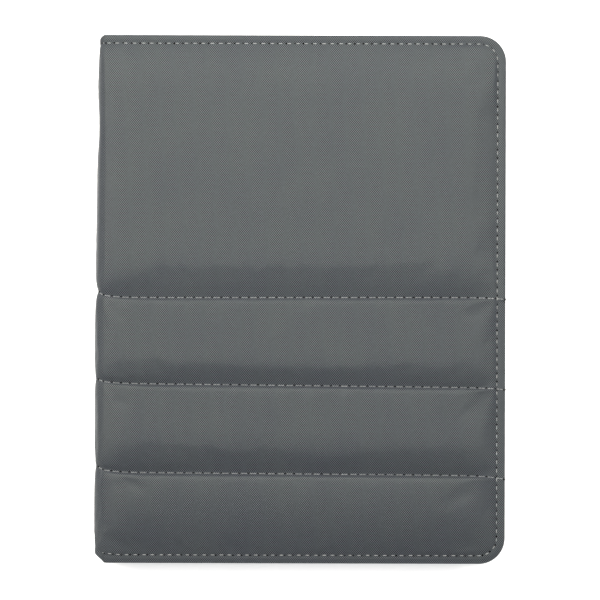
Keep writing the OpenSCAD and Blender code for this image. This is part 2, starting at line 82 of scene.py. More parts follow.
class Signal:
    """A shader socket that adds Math nodes when it is used in an expression."""

    def __init__(self, graph: "Graph", socket: bpy.types.NodeSocket) -> None:
        """Wraps a socket of a graph."""
        self.graph = graph
        self.socket = socket

    def math(self, operation: str, *values: Value) -> "Signal":
        """Adds one Math node.

        Args:
            operation: The Math node's operation.
            values: The inputs, in order.

        Returns:
            The node's result.
        """
        sockets = {i: value for i, value in enumerate(values)}
        return self.graph.node("ShaderNodeMath", {"operation": operation}, sockets)

    def __add__(self, other: Value) -> "Signal":
        """Adds a value."""
        return self.math("ADD", self, other)

    __radd__ = __add__

    def __sub__(self, other: Value) -> "Signal":
        """Takes a value away."""
        return self.math("SUBTRACT", self, other)

    def __rsub__(self, other: Value) -> "Signal":
        """Takes this signal away from a value."""
        return self.math("SUBTRACT", other, self)

    def __mul__(self, other: Value) -> "Signal":
        """Multiplies by a value."""
        return self.math("MULTIPLY", self, other)

    __rmul__ = __mul__

    def __truediv__(self, other: Value) -> "Signal":
        """Divides by a value."""
        return self.math("DIVIDE", self, other)

    def __pow__(self, other: Value) -> "Signal":
        """Raises to a power."""
        return self.math("POWER", self, other)

    def cos(self) -> "Signal":
        """The cosine."""
        return self.math("COSINE", self)

    def abs(self) -> "Signal":
        """The size without its sign."""
        return self.math("ABSOLUTE", self)

    def rise(self, low: float, high: float) -> "Signal":
        """Climbs smoothly from 0 at low to 1 at high.

        Args:
            low: Where the climb starts.
            high: Where it ends.

        Returns:
            The climb as a signal.
        """
        settings = {"interpolation_type": "SMOOTHSTEP"}
        return self.graph.node("ShaderNodeMapRange", settings, {0: self, 1: low, 2: high})


class Graph:
    """One material's node tree and its main shader."""

    def __init__(self, name: str) -> None:
        """Makes an empty material.

        Args:
            name: The material's name.
        """
        self.material = bpy.data.materials.new(name)
        self.material.use_nodes = True
        self.tree = self.material.node_tree
        self.shader = self.tree.nodes["Principled BSDF"]

    def node(self, kind: str, settings: dict | None = None, sockets: dict | None = None,
             output: str | int = 0) -> Signal:
        """Adds a node, sets it and links it.

        Args:
            kind: The node's type.
            settings: Attributes of the node, set first.
            sockets: Input sockets by name, identifier or place, each with its value or signal.
            output: The output to return.

        Returns:
            The chosen output.
        """
        made = self.tree.nodes.new(kind)
        for key, value in (settings or {}).items():
            setattr(made, key, value)
        for key, value in (sockets or {}).items():
            self.feed(self.find(made.inputs, key), value)
        return Signal(self, self.find(made.outputs, output))

    @staticmethod
    def find(sockets: Sequence[bpy.types.NodeSocket], key: str | int) -> bpy.types.NodeSocket:
        """Finds a socket by place, identifier or name.

        Args:
            sockets: The sockets to look through.
            key: The place, identifier or name.

        Returns:
            The socket.
        """
        if isinstance(key, int):
            return sockets[key]
        return next(s for s in sockets if key in (s.identifier, s.name))

    def feed(self, socket: bpy.types.NodeSocket, value: Value | Colour) -> None:
        """Links a signal to a socket, or sets the socket's own value.

        Args:
            socket: The socket to feed.
            value: The signal, number or colour.
        """
        if isinstance(value, Signal):
            self.tree.links.new(value.socket, socket)
        elif isinstance(value, tuple) and len(socket.default_value) == 4:
            socket.default_value = (*value, 1.0)
        else:
            socket.default_value = value

    def mix(self, mask: Value, low: Signal | Colour, high: Signal | Colour) -> Signal:
        """Mixes two colours.

        Args:
            mask: 0 gives low and 1 gives high.
            low: A colour or a colour signal.
            high: A colour or a colour signal.

        Returns:
            The mixed colour.
        """
        sockets = {"Factor_Float": mask, "A_Color": low, "B_Color": high}
        return self.node("ShaderNodeMix", {"data_type": "RGBA"}, sockets, "Result_Color")

    def place(self) -> Signal:
        """The point on the piece, in metres in the case's frame."""
        return self.node("ShaderNodeTexCoord", output="Object")

    def pattern(self) -> Signal:
        """The point on the flat cloth, in metres, stored on the mesh before it was folded."""
        return self.node("ShaderNodeAttribute", {"attribute_name": PATTERN}, output="Vector")

    def split(self, vector: Signal) -> list[Signal]:
        """The three parts of a vector."""
        made = self.node("ShaderNodeSeparateXYZ", sockets={0: vector})
        return [Signal(self, out) for out in made.socket.node.outputs]

    def noise(self, at: Signal, size: float, detail: float = 2.0, roughness: float = 0.5) -> Signal:
        """Soft noise.

        Args:
            at: Where it is read.
            size: The size of its lumps, in metres.
            detail: How many finer layers it has.
            roughness: How strong the finer layers are.

        Returns:
            A signal round 0.5.
        """
        sockets = {"Vector": at, "Scale": 1 / size, "Detail": detail, "Roughness": roughness}
        return self.node("ShaderNodeTexNoise", sockets=sockets)

    def cells(self, at: Signal, size: float) -> Signal:
        """Distance to the nearest of many scattered points."""
        return self.node("ShaderNodeTexVoronoi", sockets={"Vector": at, "Scale": 1 / size})

    def bump(self, height: Signal, depth: float, strength: float = 1.0) -> None:
        """Raises the surface by a height signal.

        Args:
            height: The height, from 0 to 1.
            depth: The height of 1, in metres.
            strength: How much of the bump is used.
        """
        sockets = {"Strength": strength, "Distance": depth, "Height": height}
        normal = self.node("ShaderNodeBump", sockets=sockets)
        self.feed(self.shader.inputs["Normal"], normal)

    def set(self, **sockets: Value | Colour) -> None:
        """Feeds the main shader's sockets, named with underscores for spaces."""
        for key, value in sockets.items():
            self.feed(self.shader.inputs[key.replace("_", " ")], value)


PATTERN = "cloth_pattern"


def waves(at: Signal, pitch: float) -> Signal:
    """A cosine ripple from -1 to 1 with the given pitch in metres."""
    return (at * (math.tau / pitch)).cos()


# ---------------------------------------------------------------- finishes

@dataclass(frozen=True)
class Finish:
    """A finish that can dress any piece. Each kind fills in paint()."""

    name: str

    def paint(self, graph: Graph) -> None:
        """Builds the finish in a graph."""
        raise NotImplementedError

    def material(self) -> bpy.types.Material:
        """The finish's one material, made when it is first asked for.

        Returns:
            The material.
        """
        found = bpy.data.materials.get(self.name)
        if found is None:
            graph = Graph(self.name)
            self.paint(graph)
            found = graph.material
        return found


@dataclass(frozen=True)
class Canvas(Finish):
    """Plain-weave canvas: pale warp over dark weft, with slubs and a little mottling."""

    base: Colour = (0.048, 0.054, 0.061)
    shade: Colour = (0.044, 0.049, 0.059)
    glint: Colour = (0.94, 1.0, 0.86)
    contrast: float = 1.9
    warp_pitch: float = 1.06 * MM
    weft_pitch: float = 1.27 * MM
    relief: float = 0.09 * MM
    mottle: float = 24 * MM

    def paint(self, graph: Graph) -> None:
        """Builds the canvas in a graph.

        Args:
            graph: The graph to build in.
        """
        at = graph.pattern()
        across, along, _ = graph.split(at)
        drift = (graph.noise(at, 14 * MM) - 0.5) * (0.5 * MM)
        checks = waves(across + drift, self.warp_pitch) * waves(along + drift, self.weft_pitch)
        slub = graph.noise(at, 2.2 * MM, 3.0, 0.7)
        thread = checks * (0.55 + 0.9 * slub)
        patch = graph.noise(at, self.mottle, 3.0, 0.5).rise(0.2, 0.8)
        tone = graph.mix(patch, self.base, self.shade)
        light = 1.0 + self.contrast * thread + (slub - 0.5) * 0.12
        vector = graph.node("ShaderNodeVectorMath", {"operation": "SCALE"}, {"Vector": tone, "Scale": light})
        graph.set(Base_Color=vector, Roughness=0.46 - 0.06 * checks, Specular_IOR_Level=0.25,
                  Specular_Tint=self.glint)
        graph.set(Sheen_Weight=0.04, Sheen_Roughness=0.5, Sheen_Tint=(0.75, 0.8, 0.9))
        graph.bump(0.5 + 0.5 * thread, self.relief, 0.6)


@dataclass(frozen=True)
class Cloth(Finish):
    """Thin close cloth with a fine rib, for linings, hinge strips and elastic."""

    colour: Colour
    dark: Colour
    rib_x: float
    rib_y: float
    relief: float
    rough: float = 0.85
    lint: Colour = (0.45, 0.45, 0.44)

    def paint(self, graph: Graph) -> None:
        """Builds the cloth in a graph.

        Args:
            graph: The graph to build in.
        """
        at = graph.place()
        x, y, z = graph.split(at)
        ribs = waves(x + z, self.rib_x) * waves(y, self.rib_y)
        fuzz = graph.noise(at, 1.5 * MM, 4.0, 0.7)
        wear = graph.noise(at, 35 * MM, 3.0).rise(0.35, 0.7)
        tone = graph.mix(0.5 + 0.3 * ribs + 0.25 * (fuzz - 0.5), self.dark, self.colour)
        worn = graph.mix(0.012 * wear, tone, self.lint)
        graph.set(Base_Color=worn, Roughness=self.rough - 0.12 * wear)
        graph.set(Sheen_Weight=0.25, Sheen_Roughness=0.6)
        graph.bump(0.5 + 0.35 * ribs + 0.3 * fuzz, self.relief, 0.8)


@dataclass(frozen=True)
class Pile(Finish):
    """Hooks or loops that stand up from a tape."""

    colour: Colour
    tip: Colour
    tuft: float
    height: float

    def paint(self, graph: Graph) -> None:
        """Builds the pile in a graph.

        Args:
            graph: The graph to build in.
        """
        at = graph.place()
        tufts = 1.0 - graph.cells(at, self.tuft)
        tangle = graph.noise(at, self.tuft * 0.6, 4.0, 0.8)
        graph.set(Base_Color=graph.mix(tufts * tangle * 1.5, self.colour, self.tip), Roughness=0.8)
        graph.set(Sheen_Weight=0.2)
        graph.bump(tufts * 0.7 + tangle * 0.4, self.height)


@dataclass(frozen=True)
class Foam(Finish):
    """Open-cell foam sheet."""

    colour: Colour = (0.62, 0.60, 0.50)
    dark: Colour = (0.34, 0.32, 0.25)

    def paint(self, graph: Graph) -> None:
        """Builds the foam in a graph.

        Args:
            graph: The graph to build in.
        """
        at = graph.place()
        pores = graph.cells(at, 0.9 * MM).rise(0.15, 0.6)
        aged = graph.noise(at, 30 * MM, 3.0)
        graph.set(Base_Color=graph.mix(pores * 0.6 + aged * 0.3, self.colour, self.dark), Roughness=0.95)
        graph.bump(1.0 - pores, 0.3 * MM)


@dataclass(frozen=True)
class Board(Finish):
    """Pressed board with fibres."""

    colour: Colour = (0.30, 0.27, 0.22)
    fleck: Colour = (0.16, 0.14, 0.11)

    def paint(self, graph: Graph) -> None:
        """Builds the board in a graph.

        Args:
            graph: The graph to build in.
        """
        at = graph.place()
        fibres = graph.noise(at, 1.8 * MM, 6.0, 0.75).rise(0.42, 0.62)
        cloud = graph.noise(at, 22 * MM, 2.0)
        graph.set(Base_Color=graph.mix(fibres * 0.5 + cloud * 0.3, self.colour, self.fleck))
        graph.set(Roughness=0.82 + 0.12 * fibres)
        graph.bump(fibres, 0.05 * MM)


@dataclass(frozen=True)
class Plastic(Finish):
    """Moulded plastic with a fine spark-eroded grain, rubbed smoother where it is handled."""

    colour: Colour
    worn: Colour
    grain: float
    rough: float
    relief: float

    def paint(self, graph: Graph) -> None:
        """Builds the plastic in a graph.

        Args:
            graph: The graph to build in.
        """
        at = graph.place()
        grain = graph.noise(at, self.grain, 4.0, 0.6)
        rub = graph.noise(at, 16 * MM, 3.0).rise(0.42, 0.68)
        graph.set(Base_Color=graph.mix(rub * 0.5 + grain * 0.3, self.colour, self.worn))
        graph.set(Roughness=self.rough - 0.14 * rub + 0.08 * grain, Specular_IOR_Level=0.45)
        graph.bump(grain, self.relief, 0.7)


@dataclass(frozen=True)
class Metal(Finish):
    """Plated or turned metal with fine lines."""

    colour: Colour
    dull: Colour
    rough: float

    def paint(self, graph: Graph) -> None:
        """Builds the metal in a graph.

        Args:
            graph: The graph to build in.
        """
        at = graph.place()
        _, y, z = graph.split(at)
        lines = graph.noise(at, 0.35 * MM, 3.0, 0.6)
        stain = graph.noise(at, 4 * MM, 3.0).rise(0.45, 0.75)
        turned = waves(y + z, 0.23 * MM) * 0.5 + 0.5
        graph.set(Base_Color=graph.mix(stain * 0.6 + 0.2 * lines, self.colour, self.dull), Metallic=1.0)
        graph.set(Roughness=self.rough + 0.2 * stain + 0.05 * turned)
        graph.bump(lines * 0.6 + turned * 0.4, 0.01 * MM)


@dataclass(frozen=True)
class Circuit(Finish):
    """Green solder mask over copper tracks."""

    mask: Colour = (0.012, 0.09, 0.04)
    track: Colour = (0.03, 0.2, 0.09)

    def paint(self, graph: Graph) -> None:
        """Builds the circuit board in a graph.

        Args:
            graph: The graph to build in.
        """
        at = graph.place()
        x, y, _ = graph.split(at)
        lanes = waves(x, 1.3 * MM).rise(0.35, 0.6) + waves(y, 2.7 * MM).rise(0.75, 0.85)
        broken = lanes * graph.noise(at, 5 * MM, 1.0).rise(0.45, 0.5)
        dust = graph.noise(at, 0.6 * MM, 3.0)
        graph.set(Base_Color=graph.mix(broken * 0.9 + 0.1 * dust, self.mask, self.track))
        graph.set(Roughness=0.3 + 0.2 * dust)
        graph.bump(broken, 0.035 * MM)


@dataclass(frozen=True)
class Clear(Finish):
    """Clear or milky moulded film, rubber or light pipe."""

    colour: Colour
    cloud: Colour
    transmission: float
    rough: float

    def paint(self, graph: Graph) -> None:
        """Builds the clear plastic in a graph.

        Args:
            graph: The graph to build in.
        """
        at = graph.place()
        haze = graph.noise(at, 6 * MM, 3.0)
        grit = graph.noise(at, 0.4 * MM, 2.0)
        graph.set(Base_Color=graph.mix(haze, self.colour, self.cloud), Transmission_Weight=self.transmission)
        graph.set(Roughness=self.rough + 0.15 * haze, IOR=1.47)
        graph.bump(grit, 0.01 * MM)


@dataclass(frozen=True)
class Thread(Finish):
    """Twisted sewing thread, or the painted shadow where a needle went through the cloth."""

    colour: Colour
    dark: Colour
    gloss: float = 0.4
    twist: float = 0.9 * MM

    def paint(self, graph: Graph) -> None:
        """Builds the thread in a graph.

        Args:
            graph: The graph to build in.
        """
        at = graph.place()
        x, y, z = graph.split(at)
        ply = waves(x + y * 1.3 + z, self.twist)
        lint = graph.noise(at, 0.3 * MM, 3.0)
        graph.set(Base_Color=graph.mix(0.5 + 0.35 * ply + 0.3 * (lint - 0.5), self.dark, self.colour))
        graph.set(Roughness=0.55 + 0.2 * lint, Specular_IOR_Level=self.gloss)
        graph.bump(0.5 + 0.5 * ply, 0.05 * MM)


@dataclass(frozen=True)
class Floor(Finish):
    """Smooth pale studio floor."""

    colour: Colour = (0.93, 0.93, 0.93)
    tint: Colour = (0.90, 0.90, 0.905)
    glow: float = 0.7

    def paint(self, graph: Graph) -> None:
        """Builds the floor in a graph.

        Args:
            graph: The graph to build in.
        """
        graph.set(Base_Color=graph.mix(graph.noise(graph.place(), 0.4, 2.0), self.colour, self.tint))
        graph.set(Roughness=0.9, Specular_IOR_Level=0.1)
        graph.set(Emission_Color=(1.0, 1.0, 1.0), Emission_Strength=self.glow)


CANVAS = Canvas("canvas_grey")
LINING = Cloth("lining_charcoal", (0.040, 0.042, 0.046), (0.020, 0.021, 0.024),
               rib_x=0.9 * MM, rib_y=0.9 * MM, relief=0.05 * MM)
WEBBING = Cloth("webbing_black", (0.026, 0.027, 0.029), (0.010, 0.010, 0.011),
                rib_x=1.1 * MM, rib_y=1.6 * MM, relief=0.12 * MM)
ELASTIC = Cloth("elastic_black", (0.020, 0.020, 0.022), (0.007, 0.007, 0.008),
                rib_x=0.8 * MM, rib_y=0.8 * MM, relief=0.15 * MM, rough=0.75)
HOOKS = Pile("hook_tape", (0.015, 0.015, 0.016), (0.06, 0.06, 0.065), 0.9 * MM, 0.35 * MM)
LOOPS = Pile("loop_tape", (0.03, 0.032, 0.036), (0.10, 0.105, 0.115), 0.7 * MM, 0.25 * MM)
FOAM = Foam("foam_cream")
BOARD = Board("board_grey")
SHELL = Plastic("shell_graphite", (0.052, 0.054, 0.058), (0.075, 0.077, 0.08), 0.5 * MM, 0.48, 0.02 * MM)
KEYCAP = Plastic("keycap_black", (0.022, 0.022, 0.024), (0.036, 0.036, 0.038), 0.4 * MM, 0.52, 0.02 * MM)
CONTROL = Plastic("control_black", (0.015, 0.015, 0.016), (0.03, 0.03, 0.032), 0.4 * MM, 0.4, 0.02 * MM)
STEEL = Metal("steel_plated", (0.62, 0.63, 0.65), (0.4, 0.4, 0.41), 0.28)
BRASS = Metal("brass_turned", (0.75, 0.55, 0.25), (0.45, 0.32, 0.14), 0.3)
FOIL = Metal("battery_foil", (0.66, 0.67, 0.68), (0.5, 0.5, 0.5), 0.35)
CIRCUIT = Circuit("circuit_green")
FILM = Clear("film_clear", (0.82, 0.86, 0.88), (0.7, 0.74, 0.76), 0.6, 0.25)
RUBBER = Clear("rubber_milky", (0.78, 0.78, 0.74), (0.62, 0.62, 0.58), 0.15, 0.5)
LIGHT_PIPE = Clear("light_pipe", (0.8, 0.88, 0.92), (0.7, 0.8, 0.86), 0.5, 0.3)
TAPE = Clear("tape_white", (0.75, 0.75, 0.73), (0.6, 0.6, 0.58), 0.0, 0.6)
THREAD = Thread("thread_grey", (0.46, 0.47, 0.46), (0.25, 0.26, 0.26))
# Near-black, glossless cups that stand in for the shadow where a needle went through the cloth: painted
# shade.
HOLE_SHADE = Thread("needle_hole_shade", (0.006, 0.006, 0.007), (0.003, 0.003, 0.003), 0.0)
FLOOR = Floor("floor_pale")


# ---------------------------------------------------------------- mesh tools

def smoothstep(t: np.ndarray) -> np.ndarray:
    """Climbs smoothly from 0 to 1 as t goes from 0 to 1."""
    t = np.clip(t, 0.0, 1.0)
    return t * t * (3 - 2 * t)


def blend_values(low: np.ndarray, high: np.ndarray, mask: np.ndarray) -> np.ndarray:
    """Mixes two arrays by a mask from 0 to 1."""
    return low + (high - low) * mask


def new_piece(name: str, points: np.ndarray, faces: Sequence[Sequence[int]], finish: Finish,
              turn_out: bool = True) -> bpy.types.Object:
    """Makes a smooth mesh object in the scene.

    Args:
        name: The piece's name.
        points: Its vertices, one row each, in metres.
        faces: Vertex numbers of each face.
        finish: Its finish.
        turn_out: Whether its faces are turned outwards. A piece with a closed hollow keeps them as given.

    Returns:
        The new object.
    """
    mesh = bpy.data.meshes.new(name)
    mesh.from_pydata(np.asarray(points, float).tolist(), [], faces)
    mesh.validate()
    if turn_out:
        shaped = bmesh.new()
        shaped.from_mesh(mesh)
        bmesh.ops.recalc_face_normals(shaped, faces=shaped.faces)
        shaped.to_mesh(mesh)
        shaped.free()
    mesh.polygons.foreach_set("use_smooth", [True] * len(mesh.polygons))
    mesh.materials.append(finish.material())
    made = bpy.data.objects.new(name, mesh)
    bpy.context.scene.collection.objects.link(made)
    return made


def grid_faces(rows: int, columns: int, first: int = 0, flip: bool = False) -> np.ndarray:
    """Quads of a grid of points numbered row by row from first.

    Args:
        rows: How many rows of points.
        columns: How many points in a row.
        first: Number of the first point.
        flip: Turns the quads over.

    Returns:
        The quads, as four point numbers each.
    """
    row, column = np.meshgrid(np.arange(rows - 1), np.arange(columns - 1), indexing="ij")
    a = first + row * columns + column
    quads = np.stack([a, a + 1, a + columns + 1, a + columns], -1).reshape(-1, 4)
    return quads[:, ::-1] if flip else quads


def tube_faces(rings: int, sides: int) -> list[list[int]]:
    """Faces of a closed tube whose points are numbered ring by ring.

    Args:
        rings: How many rings of points.
        sides: How many points in a ring.

    Returns:
        The faces, as point numbers.
    """
    faces = [[low + i, low + (i + 1) % sides, low + sides + (i + 1) % sides, low + sides + i]
             for low in range(0, (rings - 1) * sides, sides) for i in range(sides)]
    return faces + [list(range(sides - 1, -1, -1)), list(range((rings - 1) * sides, rings * sides))]


def thick_sheet(outer: np.ndarray, inner: np.ndarray) -> Mesh:
    """Closes the space between two grids of points into one solid skin.

    Args:
        outer: Points of the outer face, rows by columns by 3.
        inner: Points of the inner face, in the same order.

    Returns:
        The vertices and the faces.
    """
    rows, columns, _ = outer.shape
    count = rows * columns
    points = np.concatenate([outer.reshape(-1, 3), inner.reshape(-1, 3)])
    faces = grid_faces(rows, columns).tolist() + grid_faces(rows, columns, count, True).tolist()
    index = np.arange(count).reshape(rows, columns)
    edge = np.concatenate([index[0, :-1], index[:-1, -1], index[-1, :0:-1], index[:0:-1, 0]])
    after = np.roll(edge, -1)
    faces += np.stack([after, edge, edge + count, after + count], -1).tolist()
    return points, faces


def rounded_outline(box: tuple[float, float, float, float], r_in: float, r_out: float, inset: float,
                    steps: int, sides: int) -> np.ndarray:
    """Points round a rectangle with rounded corners.

    Args:
        box: Its limits x0, x1, y0, y1.
        r_in: Corner radius on the side of smaller x.
        r_out: Corner radius on the other side.
        inset: How far inside the rectangle the points lie.
        steps: Steps in each corner.
        sides: Steps along each straight side.

    Returns:
        The points, anticlockwise.
    """
    x0, x1, y0, y1 = box[0] + inset, box[1] - inset, box[2] + inset, box[3] - inset
    least = 0.02 * MM
    corners = [(x1, y1, -1, -1, r_out, 0), (x0, y1, 1, -1, r_in, 90),
               (x0, y0, 1, 1, r_in, 180), (x1, y0, -1, 1, r_out, 270)]
    arcs = []
    for x, y, to_x, to_y, radius, start in corners:
        r = max(min(radius - inset, (x1 - x0) / 2, (y1 - y0) / 2), least)
        turn = np.radians(start + np.linspace(0, 90, steps + 1))
        arcs.append(np.stack([x + to_x * r + r * np.cos(turn), y + to_y * r + r * np.sin(turn)], -1))
    points = []
    for arc, following in zip(arcs, arcs[1:] + arcs[:1]):
        points.append(arc)
        share = np.linspace(0, 1, sides + 1)[1:-1, None]
        points.append(arc[-1] + (following[0] - arc[-1]) * share)
    return np.concatenate(points)


@dataclass
class RingPlate:
    """A solid made of rounded rectangles stacked from one cap to the other."""

    box: tuple[float, float, float, float]
    rings: Sequence[tuple[float, float]]
    r_in: float = 1 * MM
    r_out: float = 1 * MM
    steps: int = 6
    sides: int = 12

    def mesh(self) -> Mesh:
        """Builds the vertices and faces.

        Returns:
            The vertices and the faces.
        """
        loops = [rounded_outline(self.box, self.r_in, self.r_out, inset, self.steps, self.sides)
                 for inset, _ in self.rings]
        count = len(loops[0])
        points = np.concatenate([np.column_stack([loop, np.full(count, z)])
                                 for loop, (_, z) in zip(loops, self.rings)])
        faces = [list(range(count - 1, -1, -1))]
        for ring in range(len(loops) - 1):
            low = ring * count + np.arange(count)
            after = ring * count + np.roll(np.arange(count), -1)
            faces += np.stack([low, after, after + count, low + count], -1).tolist()
        last = (len(loops) - 1) * count
        faces.append(list(range(last, last + count)))
        return points, faces


def rounded_rings(z0: float, z1: float, radius: float, steps: int = 4, inner: Sequence[float] = ()
                  ) -> list[tuple[float, float]]:
    """Rings of a plate from z0 up to z1 with both edges rounded, and more rings inside its two faces.

    Args:
        z0: Height of the lower face.
        z1: Height of the upper face.
        radius: Radius of the rounded edges.
        steps: Steps in each rounded edge.
        inner: How far inside the edges more rings lie.

    Returns:
        The inset and the height of each ring.
    """
    turn = np.radians(np.linspace(0, 90, steps + 1))
    low = [(float(radius * (1 - np.sin(a))), float(z0 + radius * (1 - np.cos(a)))) for a in turn]
    high = [(inset, z0 + z1 - z) for inset, z in reversed(low)]
    inside = [radius + d for d in sorted(inner, reverse=True)]
    return [(d, z0) for d in inside] + low + high + [(d, z1) for d in reversed(inside)]


def join_meshes(parts: Sequence[Mesh]) -> Mesh:
    """Puts several meshes, each numbered from 0, into one.

    Args:
        parts: The meshes to put together.

    Returns:
        The one mesh.
    """
    points, faces, first = [], [], 0
    for part_points, part_faces in parts:
        points.append(part_points)
        faces += [[first + i for i in face] for face in part_faces]
        first += len(part_points)
    return np.concatenate(points), faces


def islands(node: str) -> list[tuple[np.ndarray, np.ndarray]]:
    """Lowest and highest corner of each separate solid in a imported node.

    Args:
        node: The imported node.

    Returns:
        The two corners of each solid, sorted by x and then from the head down.
    """
    mesh = frame["nodes"][node].data
    keys = {}
    owner = []
    for vertex in mesh.vertices:
        owner.append(keys.setdefault(tuple(round(c, 7) for c in vertex.co), len(keys)))
    parent = list(range(len(keys)))

    def root(i: int) -> int:
        """The first vertex of a linked set.

        Args:
            i: A vertex of the set.

        Returns:
            The first vertex's number.
        """
        while parent[i] != i:
            parent[i] = parent[parent[i]]
            i = parent[i]
        return i

    for edge in mesh.edges:
        parent[root(owner[edge.vertices[0]])] = root(owner[edge.vertices[1]])
    groups: dict[int, list[tuple[float, ...]]] = {}
    for point, number in keys.items():
        groups.setdefault(root(number), []).append(point)
    boxes = [(np.min(group, 0), np.max(group, 0)) for group in groups.values()]
    return sorted(boxes, key=lambda pair: (round(pair[0][0], 4), -pair[0][1]))


def place_piece(piece: bpy.types.Object, body: str, slot: str, *nodes: str) -> None:
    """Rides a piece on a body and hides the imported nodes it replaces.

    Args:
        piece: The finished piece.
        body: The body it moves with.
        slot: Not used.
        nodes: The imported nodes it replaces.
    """
    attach(piece, body)
    if nodes:
        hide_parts(*nodes)
    LOG.info("%s rides on %s, %d faces", piece.name, body, len(piece.data.polygons))


# ---------------------------------------------------------------- the case's own sizes

@dataclass(frozen=True)
class CaseSizes:
    """Planes and lines of the closed case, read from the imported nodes, in metres."""

    fore_x: float
    hinge_x: float
    spine_x: float
    half: float
    face_z: float
    backing_z: float
    top_z: float

    @classmethod
    def from_frame(cls) -> "CaseSizes":
        """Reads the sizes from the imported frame.

        Returns:
            The sizes.
        """
        skin_lo, skin_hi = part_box("front_outer_skin")
        spine_lo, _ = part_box("spine_outer_skin")
        lining_lo, lining_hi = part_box("front_lining")
        return cls(skin_hi.x, skin_lo.x, spine_lo.x, skin_hi.y, lining_lo.z, lining_hi.z, skin_hi.z)

    @property
    def width(self) -> float:
        """Fore-edge to hinge line."""
        return self.fore_x - self.hinge_x

    @property
    def cover_t(self) -> float:
        """Thickness of a cover."""
        return self.top_z - self.face_z

    @property
    def bend(self) -> float:
        """Length of the outer fabric round the hinge line."""
        return self.cover_t * math.pi / 2

    @property
    def drop(self) -> float:
        """Length of the outer fabric from the hinge down to the middle of the spine."""
        return self.face_z - self.top_z / 2


@dataclass(frozen=True)
class Seam:
    """One quilting seam, and the pad on its head side.

    It holds where the seam crosses the middle, its slant, how its two ends drift, its pull on the spine, how
    far from the seam the pad starts to fall, how full the pad is, and how far in the two drifts reach.
    """

    y: float
    slant: float
    spine_drift: float
    fore_drift: float
    nip: float
    reach: float
    full: float = 1.0
    spine_reach: float = 6 * MM
    fore_reach: float = 8 * MM

    def shift(self, x: np.ndarray, sizes: CaseSizes) -> np.ndarray:
        """How far the seam lies from its own y at each x.

        Args:
            x: Where across the case.
            sizes: The case's sizes.

        Returns:
            The shift at each x.
        """
        spine = np.exp(-(x - sizes.spine_x) / self.spine_reach)
        fore = np.exp(-(sizes.fore_x - x) / self.fore_reach)
        return self.slant * x + self.spine_drift * spine + self.fore_drift * fore


